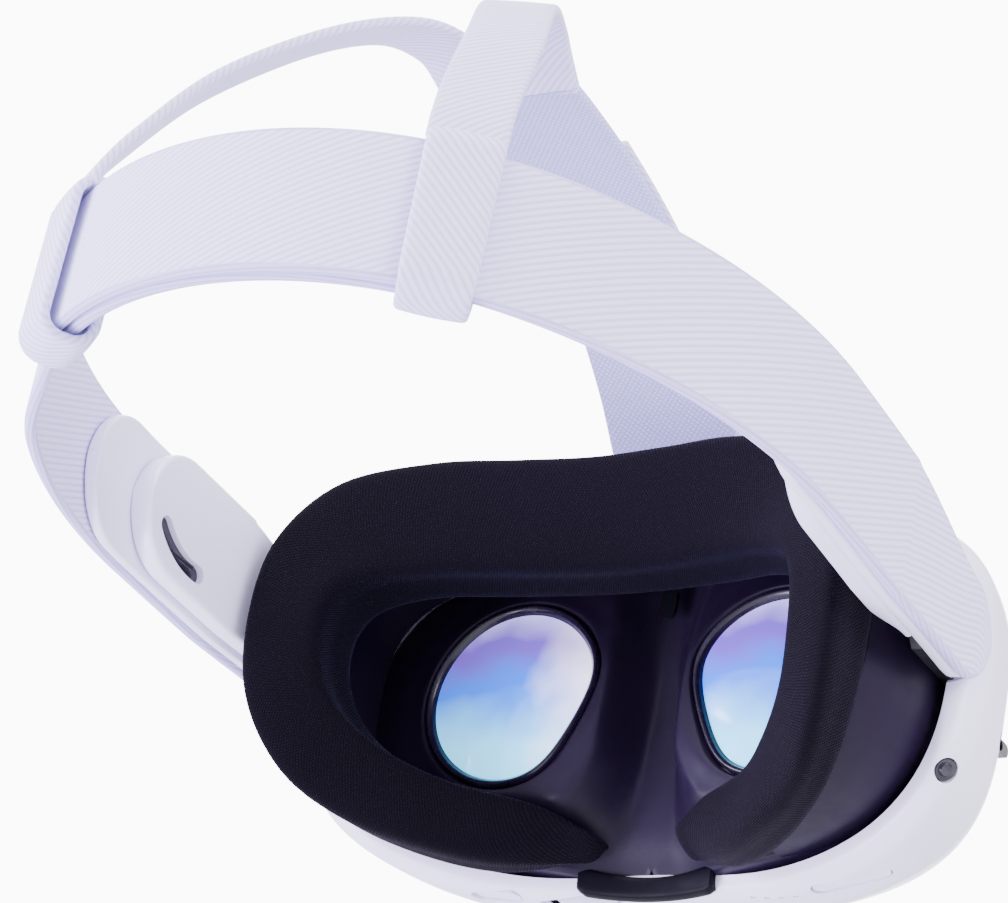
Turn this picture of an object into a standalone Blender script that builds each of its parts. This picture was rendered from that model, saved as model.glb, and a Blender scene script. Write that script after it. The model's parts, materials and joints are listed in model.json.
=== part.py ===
"""A standalone virtual-reality headset with a Y-shaped fabric head strap.

Lengths are metres, +Z is up, -Y is the front of the visor and +X is the wearer's left.
Every part is written in the eye frame, whose origin lies midway between the two lenses
on their rear faces. The empty eye_frame carries that frame into the world, where the
origin is the centre of the footprint, at the height of the lowest point.
"""
import math

import bmesh
import bpy
from mathutils import Matrix, Vector

MM = 0.001
GAP = 0.35 * MM

# Place of the eye frame in the world.
EYE_ORIGIN = Vector((0, -64.89, 45.70)) * MM

# Visor casing.
VISOR_HALF_WIDTH = 87.4 * MM
VISOR_HALF_HEIGHT = 45.6 * MM
VISOR_FRONT = -60 * MM
VISOR_SQUARENESS = 3.2
SHELL_WALL = 2 * MM
RIM_HALF_WIDTH = 81 * MM
RIM_HALF_HEIGHT = 41 * MM
RIM_AT_NOSE = -21 * MM
RIM_AT_BROW = 3 * MM
RIM_AT_TEMPLE = 5 * MM
NOSE_NOTCH = 2.4 * MM
NOSE_SPREAD = 22 * MM

# Lenses and the carriages that slide on two guide rods.
LENS_X = 35 * MM
LENS_RADIUS = 21.6 * MM
BARREL_RADIUS = 25.5 * MM
ROD_RADIUS = 1.5 * MM
ROD_Y = -19.4 * MM
ROD_Z = 27.7 * MM
WHEEL = Vector((19, -24.8, -34.8)) * MM
WHEEL_RADIUS = 10.9 * MM
PINION_RADIUS = 2.5 * MM
PINION_SETBACK = 7.6 * MM

# Pivot of the strap arms on the visor, on an axis along X.
PIVOT_Y = 14 * MM
PIVOT_Z = 3 * MM
ARM_TIP_RADIUS = 11.5 * MM

# Plan of the head strap: three tangent arcs on each side, front to rear.
STRAP_REAR_RADIUS = 79 * MM
STRAP_REAR_Y = 108 * MM
STRAP_SIDE_RADIUS = 112 * MM
STRAP_FRONT_RADIUS = 1500 * MM
STRAP_HEIGHT = 32.6 * MM
STRAP_WALL = 2.7 * MM
SLIDER_ANGLE = math.radians(35)

# Facial interface.
PAD_DEPTH = 17 * MM
FRAME_WALL = 2.4 * MM

PARTS = None
CUTTERS = None
ROOT = None


# ---------------------------------------------------------------- scene

def clear_scene():
    for item in list(bpy.data.objects):
        bpy.data.objects.remove(item, do_unlink=True)


def new_collection(name):
    made = bpy.data.collections.new(name)
    bpy.context.scene.collection.children.link(made)
    return made


def material(name, colour, roughness, metallic=0.0, coat=0.0):
    found = bpy.data.materials.get(name)
    if found:
        return found
    made = bpy.data.materials.new(name)
    made.use_nodes = True
    shader = made.node_tree.nodes["Principled BSDF"]
    shader.inputs["Base Color"].default_value = (*colour, 1)
    shader.inputs["Roughness"].default_value = roughness
    shader.inputs["Metallic"].default_value = metallic
    shader.inputs["Coat Weight"].default_value = coat
    made.diffuse_color = (*colour, 1)
    return made


def white_plastic():
    return material("white_plastic", (0.83, 0.82, 0.88), 0.42)


def dark_plastic():
    return material("dark_plastic", (0.045, 0.042, 0.07), 0.5)


def black_plastic():
    return material("black_plastic", (0.012, 0.012, 0.016), 0.35)


def dark_rubber():
    return material("dark_rubber", (0.02, 0.018, 0.03), 0.7)


def white_fabric():
    return material("white_fabric", (0.72, 0.71, 0.82), 0.9)


def dark_knit():
    return material("dark_knit", (0.03, 0.027, 0.06), 0.95)


def clear_glass():
    return material("lens_glass", (0.55, 0.68, 0.9), 0.05, coat=1.0)


def black_glass():
    return material("black_glass", (0.006, 0.006, 0.009), 0.06, coat=1.0)


def steel():
    return material("steel", (0.55, 0.56, 0.58), 0.3, 1.0)


def aluminium():
    return material("aluminium", (0.7, 0.71, 0.72), 0.35, 1.0)


def circuit_board():
    return material("circuit_board", (0.01, 0.09, 0.05), 0.5)


def battery_foil():
    return material("battery_foil", (0.16, 0.16, 0.18), 0.4)


# ---------------------------------------------------------------- helpers

def finish(item, name, surface, smooth=False):
    """Names a new object, gives it its material and files it under the eye frame."""
    item.name = name
    item.data.name = name
    item.data.materials.clear()
    item.data.materials.append(surface)
    for face in item.data.polygons:
        face.use_smooth = smooth
    for held in list(item.users_collection):
        held.objects.unlink(item)
    PARTS.objects.link(item)
    item.parent = ROOT
    return item


def as_cutter(item):
    """Hides a Boolean tool away from the object's own parts."""
    for held in list(item.users_collection):
        held.objects.unlink(item)
    CUTTERS.objects.link(item)
    item.parent = ROOT
    item.hide_render = True
    item.display_type = "WIRE"
    return item


def object_from(mesh_tool, name="piece"):
    """An object whose mesh is the given bmesh."""
    mesh = bpy.data.meshes.new(name)
    bmesh.ops.recalc_face_normals(mesh_tool, faces=mesh_tool.faces)
    mesh_tool.to_mesh(mesh)
    mesh_tool.free()
    item = bpy.data.objects.new(name, mesh)
    PARTS.objects.link(item)
    return item


def set_origin(item, point):
    """Moves an object's origin to a point of the eye frame; its shape stays in place."""
    shift = Vector(point) - item.location
    item.data.transform(Matrix.Translation(-shift))
    item.location = point


def cut(item, cutter, operation="DIFFERENCE"):
    made = item.modifiers.new(operation.lower(), "BOOLEAN")
    made.operation = operation
    made.solver = "EXACT"
    made.object = cutter


def bevel(item, width, segments=2):
    made = item.modifiers.new("bevel", "BEVEL")
    made.width = width
    made.segments = segments
    made.limit_method = "ANGLE"
    made.angle_limit = math.radians(40)


def thicken(item, wall, offset=-1.0, even=True):
    made = item.modifiers.new("wall", "SOLIDIFY")
    made.thickness = wall
    made.offset = offset
    made.use_even_offset = even


def box(size, centre, edge=0.0):
    bpy.ops.mesh.primitive_cube_add(size=1, location=centre)
    item = bpy.context.active_object
    item.data.transform(Matrix.Diagonal((*size, 1)))
    if edge:
        bevel(item, edge)
    return item


def cylinder(radius, depth, centre, axis="Y", sides=32):
    bpy.ops.mesh.primitive_cylinder_add(radius=radius, depth=depth, vertices=sides, location=centre)
    item = bpy.context.active_object
    turn = {"X": Matrix.Rotation(math.pi / 2, 4, "Y"), "Y": Matrix.Rotation(math.pi / 2, 4, "X")}
    if axis in turn:
        item.data.transform(turn[axis])
    return item


def turned(profile, centre, sides=40, flip=False):
    """A solid of revolution about +Y from (radius, y) pairs; a ring's profile ends where it starts."""
    tool = bmesh.new()
    is_ring = profile[0] == profile[-1]
    corners = [tool.verts.new((radius, 0, y)) for radius, y in (profile[:-1] if is_ring else profile)]
    for first, second in zip(corners, corners[1:]):
        tool.edges.new((first, second))
    if is_ring:
        tool.edges.new((corners[-1], corners[0]))
    mesh = bpy.data.meshes.new("profile")
    tool.to_mesh(mesh)
    tool.free()
    item = bpy.data.objects.new("profile", mesh)
    PARTS.objects.link(item)
    spin = item.modifiers.new("screw", "SCREW")
    spin.angle = 2 * math.pi
    spin.steps = sides
    spin.render_steps = sides
    spin.use_merge_vertices = True
    spin.merge_threshold = 0.00001
    spin.use_normal_calculate = True
    spin.use_normal_flip = flip or not is_ring
    item.rotation_euler = (-math.pi / 2, 0, 0)
    item.location = centre
    return item


def prism(outline, thickness, centre, facing="Y"):
    """A flat outline of (across, up) pairs given a thickness along the facing axis."""
    curve = bpy.data.curves.new("outline", "CURVE")
    curve.dimensions = "2D"
    curve.fill_mode = "BOTH"
    curve.extrude = thickness / 2
    line = curve.splines.new("POLY")
    line.points.add(len(outline) - 1)
    for point, (across, up) in zip(line.points, outline):
        point.co = (across, up, 0, 1)
    line.use_cyclic_u = True
    drawn = bpy.data.objects.new("outline", curve)
    PARTS.objects.link(drawn)
    if facing == "Y":
        drawn.rotation_euler = (math.pi / 2, 0, 0)
    elif facing == "X":
        drawn.rotation_euler = (math.pi / 2, 0, math.pi / 2)
    drawn.location = centre
    bpy.context.view_layer.update()
    graph = bpy.context.evaluated_depsgraph_get()
    mesh = bpy.data.meshes.new_from_object(drawn.evaluated_get(graph))
    tool = bmesh.new()
    tool.from_mesh(mesh)
    bmesh.ops.remove_doubles(tool, verts=tool.verts, dist=0.000001)
    tool.transform(drawn.matrix_world)
    tool.to_mesh(mesh)
    tool.free()
    bpy.data.objects.remove(drawn, do_unlink=True)
    item = bpy.data.objects.new("prism", mesh)
    PARTS.objects.link(item)
    return item


def arc(radius, start, end, steps, centre=(0, 0)):
    """Points on a circle between two angles in degrees."""
    return [(centre[0] + radius * math.cos(math.radians(start + (end - start) * i / steps)),
             centre[1] + radius * math.sin(math.radians(start + (end - start) * i / steps)))
            for i in range(steps + 1)]


def pill(length, width, steps=8):
    """Outline of a flat slot with round ends, longest across."""
    reach = (length - width) / 2
    return arc(width / 2, -90, 90, steps, (reach, 0)) + arc(width / 2, 90, 270, steps, (-reach, 0))


def power(value, exponent):
    return math.copysign(abs(value) ** exponent, value)


def oval(half_width, half_height, angle, squareness):
    """A point of a rounded rectangle at an angle in radians."""
    across = half_width * power(math.cos(angle), 2 / squareness)
    up = half_height * power(math.sin(angle), 2 / squareness)
    return across, up


def loft(rings, close_rings=True, cap_first=False, cap_last=False, fan_last=False):
    """A skin through rings with the same number of points."""
    tool = bmesh.new()
    rows = [[tool.verts.new(point) for point in ring] for ring in rings]
    count = len(rings[0])
    for low, high in zip(rows, rows[1:]):
        for i in range(count if close_rings else count - 1):
            j = (i + 1) % count
            tool.faces.new((low[i], low[j], high[j], high[i]))
    if cap_first:
        tool.faces.new(rows[0])
    if cap_last:
        tool.faces.new(rows[-1])
    if fan_last:
        middle = tool.verts.new(sum((Vector(point) for point in rings[-1]), Vector()) / count)
        middle.co.y = VISOR_FRONT
        for i in range(count):
            tool.faces.new((rows[-1][i], rows[-1][(i + 1) % count], middle))
    return object_from(tool)


def smooth_points(stations, steps):
    """Points of a smooth curve through stations given as equal-length tuples."""
    result = []
    last = len(stations) - 1
    for i in range(last):
        a = stations[max(i - 1, 0)]
        b = stations[i]
        c = stations[i + 1]
        d = stations[min(i + 2, last)]
        for k in range(steps):
            t = k / steps
            result.append(tuple(
                0.5 * (2 * q + (r - p) * t + (2 * p - 5 * q + 4 * r - s) * t * t
                       + (3 * q - p - 3 * r + s) * t ** 3)
                for p, q, r, s in zip(a, b, c, d)))
    result.append(tuple(stations[-1]))
    return result


def ramp(value, low, high):
    """0 below low, 1 above high and smooth between them."""
    t = min(max((value - low) / (high - low), 0), 1)
    return t * t * (3 - 2 * t)


def sides():
    """Wearer's left (+X) and right (-X)."""
    return (("left", 1), ("right", -1))


# ---------------------------------------------------------------- visor casing

def rim_depth(x, z):
    """Depth of the casing's rear rim: far forward at the nose, level at the brow."""
    reach = min(abs(x) / RIM_HALF_WIDTH, 1) ** 2
    nose = RIM_AT_NOSE + (RIM_AT_TEMPLE - RIM_AT_NOSE) * reach
    brow = RIM_AT_BROW + (RIM_AT_TEMPLE - RIM_AT_BROW) * reach
    return nose + (brow - nose) * ramp(z, -36 * MM, 36 * MM)


def front_depth(x):
    """Depth of the gently curved front."""
    return VISOR_FRONT + 5 * MM * (x / VISOR_HALF_WIDTH) ** 2


def notch(x, z):
    """How far the nose arch lifts the lower edge."""
    if z >= 0:
        return 0
    return NOSE_NOTCH * math.exp(-(x / NOSE_SPREAD) ** 2) * min(-z / VISOR_HALF_HEIGHT, 1)


def casing_ring(half_width, half_height, forward, count=52):
    """One section of the casing, from 0 at the curved rim to 1 at the bowed front."""
    ring = []
    for i in range(count):
        angle = 2 * math.pi * i / count
        x, z = oval(half_width, half_height, angle, VISOR_SQUARENESS)
        z += notch(x, z) * (1 - ramp(forward, 0.1, 0.55))
        y = rim_depth(x, z) + (front_depth(x) - rim_depth(x, z)) * forward
        ring.append((x, y, z))
    return ring


def casing_surface():
    """Open surface of the casing from its rear rim to the middle of the front."""
    sections = ((81, 41, 0), (84.6, 43.8, 0.02), (86.9, 45.2, 0.08), (87.4, 45.6, 0.16), (84.6, 44.4, 0.38),
                (80.6, 42, 0.55), (74, 38, 0.75), (67, 33.5, 0.87), (59, 28, 0.95), (49, 21.5, 0.99), (32, 10, 1))
    rings = [casing_ring(width * MM, height * MM, forward) for width, height, forward in sections]
    return loft(rings, fan_last=True)


def underside(x):
    """Height of the casing's underside across the row of buttons, and its slope there."""
    def height(at):
        across = min(abs(at) / (84.5 * MM), 1)
        return -44.4 * MM * (1 - across ** VISOR_SQUARENESS) ** (1 / VISOR_SQUARENESS)
    slope = (height(x + MM) - height(x - MM)) / (2 * MM)
    return height(x) + notch(x, height(x)), -math.atan(slope)


WINDOW_LENGTH = 34 * MM
WINDOW_WIDTH = 12.6 * MM
WINDOWS = (("left", 36 * MM), ("centre", 0.0), ("right", -36 * MM))


def upright_pill(length, width, thickness, centre):
    turned_outline = [(up, across) for across, up in reversed(pill(length, width))]
    return prism(turned_outline, thickness, centre)


def build_front_shell():
    shell = casing_surface()
    thicken(shell, SHELL_WALL, even=False)
    finish(shell, "front_shell", white_plastic())
    holes = [upright_pill(WINDOW_LENGTH, WINDOW_WIDTH, 20 * MM, (x, front_depth(x), 0)) for _, x in WINDOWS]
    for _, side in sides():
        holes.append(cylinder(ARM_TIP_RADIUS + 1.2 * MM, 16 * MM, (side * 88.8 * MM, PIVOT_Y, PIVOT_Z), "X"))
        holes.append(box((5.7 * MM, 40 * MM, 17 * MM), (side * 81.2 * MM, 6 * MM, PIVOT_Z)))
        holes.append(tracking_barrel(side, 2.9 * MM, 16 * MM))
        socket = prism(pill(9.8 * MM, 3.9 * MM), 12 * MM, (side * SOCKET_X, SOCKET_Y, SOCKET_Z), "X")
        holes.append(socket)
    holes.append(box((37.4 * MM, 16 * MM, 22 * MM), (0, -16.2 * MM, -41.3 * MM)))
    for x, length in ((ROCKER_X, ROCKER_LENGTH), (POWER_X, POWER_LENGTH)):
        holes.append(under_key(x, length + 0.9 * MM, BUTTON_WIDTH + 0.9 * MM, 12 * MM, 0))
    holes.append(box((20.3 * MM, 6.4 * MM, 12 * MM), (WHEEL.x, WHEEL.y, -44 * MM)))
    holes.append(box((38 * MM, 5.4 * MM, 8 * MM), (0, ANCHOR_Y, 44.5 * MM)))
    for i in range(3):
        holes.append(cylinder(0.7 * MM, 8 * MM, ((-27 - 3.6 * i) * MM, -22 * MM, -43 * MM), "Z", 8))
    for hole in holes:
        cut(shell, as_cutter(hole))


def build_windows():
    for name, x in WINDOWS:
        pane = upright_pill(WINDOW_LENGTH - 2 * GAP, WINDOW_WIDTH - 2 * GAP, 2.6 * MM,
                            (x, front_depth(x) + 1.1 * MM, 0))
        finish(pane, "front_window_" + name, black_glass())


def build_front_cameras():
    for name, x in WINDOWS:
        if name == "centre":
            probe = box((8 * MM, 3 * MM, 16 * MM), (x, front_depth(x) + 4.3 * MM, 0), 0.6 * MM)
            finish(probe, "depth_projector", black_plastic())
            continue
        y = front_depth(x) + 2.8 * MM
        profile = [(0, 0), (3.6 * MM, 0), (4.4 * MM, 0.8 * MM), (4.4 * MM, 4 * MM), (0, 4 * MM)]
        eye = turned(profile, (x, y, 9 * MM), 24)
        finish(eye, "front_camera_" + name, black_plastic(), True)


TRACKER = Vector((81.6, 0.6, -25.0)) * MM
TRACKER_AIM = Vector((0.72, 0.42, -0.55)).normalized()


def tracking_barrel(side, radius, depth):
    """A cylinder through the casing's lower corner, along the tracking camera's aim."""
    bpy.ops.mesh.primitive_cylinder_add(radius=radius, depth=depth, vertices=32)
    item = bpy.context.active_object
    aim = Vector((side * TRACKER_AIM.x, TRACKER_AIM.y, TRACKER_AIM.z))
    item.data.transform(aim.to_track_quat("Z", "Y").to_matrix().to_4x4())
    item.location = (side * TRACKER.x, TRACKER.y, TRACKER.z)
    return item


def build_tracking_cameras():
    for name, side in sides():
        profile = [(0, 0.6), (1.3, 0.3), (1.6, -0.2), (2.4, 0), (2.6, -0.3), (2.6, -4), (0, -4)]
        eye = turned([(radius * MM, height * MM) for radius, height in profile], (0, 0, 0), 28)
        aim = Vector((side * TRACKER_AIM.x, TRACKER_AIM.y, TRACKER_AIM.z))
        eye.rotation_euler = aim.to_track_quat("Z", "Y").to_euler()
        eye.location = (side * TRACKER.x, TRACKER.y, TRACKER.z)
        finish(eye, "tracking_camera_" + name, black_plastic(), True)


SOCKET_X = 80.1 * MM
SOCKET_Y = -24 * MM
SOCKET_Z = -8 * MM


def build_sockets():
    for name, side, surface in (("charging_socket", 1, steel()), ("audio_socket", -1, black_plastic())):
        body = prism(pill(9.8 * MM - 2 * GAP, 3.9 * MM - 2 * GAP), 7 * MM,
                     (side * (SOCKET_X - 1.6 * MM), SOCKET_Y, SOCKET_Z), "X")
        if side > 0:
            mouth = prism(pill(7.6 * MM, 1.9 * MM), 6 * MM, (SOCKET_X + 1.6 * MM, SOCKET_Y, SOCKET_Z), "X")
        else:
            mouth = cylinder(1.2 * MM, 8 * MM, (-SOCKET_X - 1.6 * MM, SOCKET_Y, SOCKET_Z), "X", 16)
        cut(body, as_cutter(mouth))
        finish(body, name, surface)


BUTTON_Y = -20 * MM
BUTTON_WIDTH = 4.4 * MM
ROCKER_X = -52 * MM
ROCKER_LENGTH = 19 * MM
POWER_X = 40 * MM
POWER_LENGTH = 13 * MM


def under_key(x, length, width, depth, proud):
    """A pill-shaped block across the casing's underside, its face proud of the surface."""
    height, tilt = underside(x)
    item = prism(pill(length, width), depth, (0, 0, 0), "Z")
    middle = Vector((x, BUTTON_Y, height)) + (depth / 2 - proud) * Vector((math.sin(tilt), 0, math.cos(tilt)))
    if not proud:
        middle = Vector((x, BUTTON_Y, height))
    item.data.transform(Matrix.Rotation(tilt, 4, "Y"))
    item.location = middle
    return item


def build_buttons():
    rocker = under_key(ROCKER_X, ROCKER_LENGTH, BUTTON_WIDTH, 3.4 * MM, 0.4 * MM)
    finish(rocker, "volume_rocker", white_plastic())
    key = under_key(POWER_X, POWER_LENGTH, BUTTON_WIDTH, 3.4 * MM, 0.4 * MM)
    finish(key, "power_button", white_plastic())


def build_nose_trim():
    """Soft strip over the nose arch, following its curve from cheek to cheek."""
    rings = []
    for i in range(13):
        x = (-18.2 + 36.4 * i / 12) * MM
        rise = 1.6 * MM * math.exp(-(x / (13 * MM)) ** 2)
        y = -20.6 * MM + 2.6 * MM * (x / (18 * MM)) ** 2
        low = -44.6 * MM + rise
        high = -38.8 * MM + rise
        rings.append([(x, y - 2.4 * MM, low), (x, y - 0.2 * MM, low + 0.6 * MM), (x, y + 0.9 * MM, low + 2.4 * MM),
                      (x, y + 1.2 * MM, high), (x, y - 1.6 * MM, high)])
    strip = loft(rings, cap_first=True, cap_last=True)
    finish(strip, "nose_trim", dark_rubber())


# ---------------------------------------------------------------- inside the visor

def flat_oval(half_width, half_height, count=40):
    return [oval(half_width, half_height, 2 * math.pi * i / count, 2.8) for i in range(count)]


POST_X = 58 * MM


def build_mid_frame():
    plate = prism(flat_oval(71 * MM, 34.5 * MM), 2.4 * MM, (0, -36.5 * MM, 0))
    for x in (-POST_X, POST_X):
        for z in (-ROD_Z, ROD_Z):
            post = box((4 * MM, 19 * MM, 6 * MM), (x, -26.7 * MM, z))
            cut(plate, as_cutter(post), "UNION")
            bore = cylinder(ROD_RADIUS + GAP, 8 * MM, (x, ROD_Y, z), "X", 16)
            cut(plate, as_cutter(bore))
    finish(plate, "mid_frame", dark_plastic())


def build_electronics():
    board = prism(flat_oval(62 * MM, 28 * MM), 1.4 * MM, (0, -48.6 * MM, 0))
    finish(board, "main_board", circuit_board())
    cell = box((56 * MM, 4 * MM, 30 * MM), (0, -51.7 * MM, 0), 1 * MM)
    finish(cell, "battery", battery_foil())
    plate = box((50 * MM, 3 * MM, 34 * MM), (-22 * MM, -44.6 * MM, 0), 0.5 * MM)
    finish(plate, "heat_sink", aluminium())
    profile = [(15.8, -2.6), (15.8, 1.8), (1.6, 1.8), (1.6, 2.6), (17, 2.6), (17, -2.6)]
    ring = [(radius * MM, height * MM) for radius, height in profile + profile[:1]]
    housing = turned(ring, FAN_CENTRE, 28, flip=True)
    finish(housing, "fan_housing", black_plastic(), True)
    hub = cylinder(5 * MM, 3.2 * MM, FAN_CENTRE, "Y", 20)
    for i in range(7):
        blade = box((10 * MM, 2.2 * MM, 1 * MM), (0, 0, 0))
        blade.data.transform(Matrix.Translation((8.8 * MM, 0, 0)))
        blade.rotation_euler = (0, 2 * math.pi * i / 7, 0)
        blade.location = FAN_CENTRE
        cut(hub, as_cutter(blade), "UNION")
    finish(hub, "fan_rotor", black_plastic())


FAN_CENTRE = Vector((30, -43, 0)) * MM


def build_rods():
    for name, z in (("upper", ROD_Z), ("lower", -ROD_Z)):
        rod = cylinder(ROD_RADIUS, 2 * POST_X + 6 * MM, (0, ROD_Y, z), "X", 16)
        finish(rod, "guide_rod_" + name, steel(), True)


def build_lenses():
    for name, side in sides():
        x = side * LENS_X
        glass_profile = [(0, 0.4), (10, 0), (18, -1.5), (21.4, -3), (21.4, -7), (0, -7)]
        glass = turned([(r * MM, y * MM) for r, y in glass_profile], (x, 0, 0), 32)
        finish(glass, "lens_" + name, clear_glass(), True)
        ring_profile = [(21.7, -8), (21.7, -2.7), (22.6, -1), (24.4, -1), (24.9, -1.8), (24.9, -3.3), (22.9, -3.3),
                        (22.9, -8), (21.7, -8)]
        ring = turned([(r * MM, y * MM) for r, y in ring_profile], (x, 0, 0), 32)
        finish(ring, "lens_ring_" + name, black_plastic(), True)
        barrel_profile = [(23.2, -21.9), (23.2, -3.8), (25.5, -3.8), (25.5, -21.9), (23.2, -21.9)]
        barrel = turned([(r * MM, y * MM) for r, y in barrel_profile], (x, 0, 0), 32)
        for z in (-ROD_Z, ROD_Z):
            lug = box((9 * MM, 5.6 * MM, 8.4 * MM), (x, ROD_Y, z - math.copysign(1.2 * MM, z)))
            cut(barrel, as_cutter(lug), "UNION")
            bore = cylinder(ROD_RADIUS + 0.25 * MM, 14 * MM, (x, ROD_Y, z), "X", 16)
            cut(barrel, as_cutter(bore))
        finish(barrel, "lens_barrel_" + name, black_plastic(), True)
        panel = box((44 * MM, 1.4 * MM, 40 * MM), (x, -28.4 * MM, 0), 0.4 * MM)
        finish(panel, "display_" + name, black_glass())


def build_spacing_drive():
    """Thumb wheel under the visor with its pinion, and a rack to each lens carriage."""
    wheel = cylinder(WHEEL_RADIUS, 5 * MM, WHEEL, "Y", 40)
    shaft = cylinder(1.5 * MM, 9.4 * MM, WHEEL - Vector((0, 4.7 * MM, 0)), "Y", 16)
    cut(wheel, as_cutter(shaft), "UNION")
    pinion = cylinder(PINION_RADIUS - 0.4 * MM, 3 * MM, WHEEL - Vector((0, PINION_SETBACK, 0)), "Y", 12)
    cut(wheel, as_cutter(pinion), "UNION")
    set_origin(wheel, WHEEL)
    finish(wheel, "spacing_wheel", dark_plastic())
    for name, side in sides():
        length = 34 * MM
        z = WHEEL.z + side * (PINION_RADIUS + 0.75 * MM)
        middle = WHEEL.x + side * (length / 2 - 12 * MM)
        rack = box((length, 2.6 * MM, 1.6 * MM), (middle, WHEEL.y - PINION_SETBACK, z))
        for i in range(12):
            tooth_gap = box((1.1 * MM, 4 * MM, 0.8 * MM),
                            (middle + (i - 5.5) * 2.6 * MM, WHEEL.y - PINION_SETBACK, z - side * 0.8 * MM))
            cut(rack, as_cutter(tooth_gap))
        finish(rack, "rack_" + name, steel())


# ---------------------------------------------------------------- face side

SHROUD_HALF_WIDTH = 73 * MM
SHROUD_HALF_HEIGHT = 34 * MM
SHROUD_ROWS = 6
SHROUD_SPOKES = 36


def shroud_depth(x, z):
    """Rear face of the shroud: high round each lens, a valley down to the nose."""
    away = math.hypot(abs(x) - LENS_X, z)
    dome = -4.3 * MM - 4 * MM * ramp(away, 26 * MM, 44 * MM)
    valley = 4 * MM * math.exp(-(x / (9 * MM)) ** 2) * ramp(-z, -40 * MM, 30 * MM)
    skirt = 9.5 * MM * ramp(-z, 25.6 * MM, 32.6 * MM) * (1 - 0.6 * math.exp(-(x / (8 * MM)) ** 2))
    return dome - valley - skirt


def build_face_shroud():
    tool = bmesh.new()
    rows = []
    for k in range(1, SHROUD_ROWS + 1):
        row = []
        for i in range(SHROUD_SPOKES):
            grown = k / SHROUD_ROWS
            x, z = oval(SHROUD_HALF_WIDTH * grown, SHROUD_HALF_HEIGHT * grown, 2 * math.pi * i / SHROUD_SPOKES, 2.8)
            z += notch(x, z) - 3 * MM * math.exp(-(x / (14 * MM)) ** 2) * ramp(-z, 20 * MM, 34 * MM)
            row.append(tool.verts.new((x, shroud_depth(x, z), z)))
        rows.append(row)
    middle = tool.verts.new((0, shroud_depth(0, 0), 0))
    for i in range(SHROUD_SPOKES):
        j = (i + 1) % SHROUD_SPOKES
        tool.faces.new((middle, rows[0][i], rows[0][j]))
        for low, high in zip(rows, rows[1:]):
            tool.faces.new((low[i], high[i], high[j], low[j]))
    shroud = object_from(tool)
    if shroud.data.polygons[0].normal.y < 0:
        shroud.data.flip_normals()
    thicken(shroud, 2 * MM)
    for _, side in sides():
        slot = prism(pill(2 * BARREL_RADIUS + 8 * MM, 2 * BARREL_RADIUS + 1.2 * MM, 20), 30 * MM,
                     (side * (LENS_X - 2.9 * MM), -6 * MM, 0))
        cut(shroud, as_cutter(slot))
    finish(shroud, "face_shroud", dark_plastic(), True)
    window = upright_pill(8.4 * MM, 4.2 * MM, 1.2 * MM, (0, shroud_depth(0, 24.5 * MM) + 1.6 * MM, 24.5 * MM))
    finish(window, "proximity_window", black_glass())


# Facial interface: (angle in degrees, x, y, z of the outer rear edge, x, y, z of the inner rear edge).
PAD_STATIONS = (
    (16, -18, -38.5, 13, -10, -32.5),
    (30, -1, -44.5, 22, -3, -29.5),
    (43, 12, -45.5, 38, 9, -28.5),
    (57, 23, -43, 49, 22, -26),
    (68, 36, -36.5, 57, 33, -20),
    (75, 46, -22, 60.5, 40, -10),
    (76.5, 50, -2, 60, 42, 2),
    (74, 49.5, 18, 55, 40, 10),
    (62, 46, 34, 44, 33, 15),
    (40, 41, 40.5, 30, 27, 17.5),
    (20, 37, 41.8, 14, 22.5, 18.4),
    (0, 35, 42, 0, 21, 18.6),
)


def pad_stations():
    """The stations of both halves in metres, from the wearer's left nose end to the right."""
    left = [tuple(value * MM for value in row) for row in PAD_STATIONS]
    right = [(-row[0], row[1], row[2], -row[3], row[4], row[5]) for row in reversed(left[:-1])]
    return smooth_points(left + right, 2)


def seam_depth(x, z):
    """Depth of the seam between the pad and its frame."""
    cheek = -20 * MM + 50 * MM * min(abs(x) / (74 * MM), 1.05) ** 1.6
    brow = 15 * MM + 15 * MM * min(abs(x) / (74 * MM), 1.05) ** 2
    return cheek + (brow - cheek) * ramp(z, -12 * MM, 34 * MM)


def build_face_pad():
    rings = []
    stations = pad_stations()
    for ox, oy, oz, ix, iy, iz in stations:
        outer = Vector((ox, oy, oz))
        inner = Vector((ix, iy, iz))
        across = inner - outer
        seam = Vector((ox, seam_depth(ox, oz) + 0.6 * MM, oz)) + across * 0.16
        lining = Vector((ix, max(seam.y, iy - PAD_DEPTH), iz)) + across * 0.02
        rings.append([seam, outer.lerp(seam, 0.35) - across * 0.02, outer + across * 0.10, outer + across * 0.35,
                      outer + across * 0.70, inner - across * 0.04, inner.lerp(lining, 0.4), lining])
    pad = loft(rings, cap_first=True, cap_last=True)
    finish(pad, "face_pad", dark_knit(), True)


def interface_ring(half_width, half_height, depth, count=40):
    """An open ring that stops either side of the nose."""
    stop = 0.30
    ring = []
    for i in range(count + 1):
        angle = -math.pi / 2 + stop + (2 * math.pi - 2 * stop) * i / count
        x, z = oval(half_width, half_height, angle, VISOR_SQUARENESS)
        ring.append((x, depth(x, z), z))
    return ring


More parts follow.
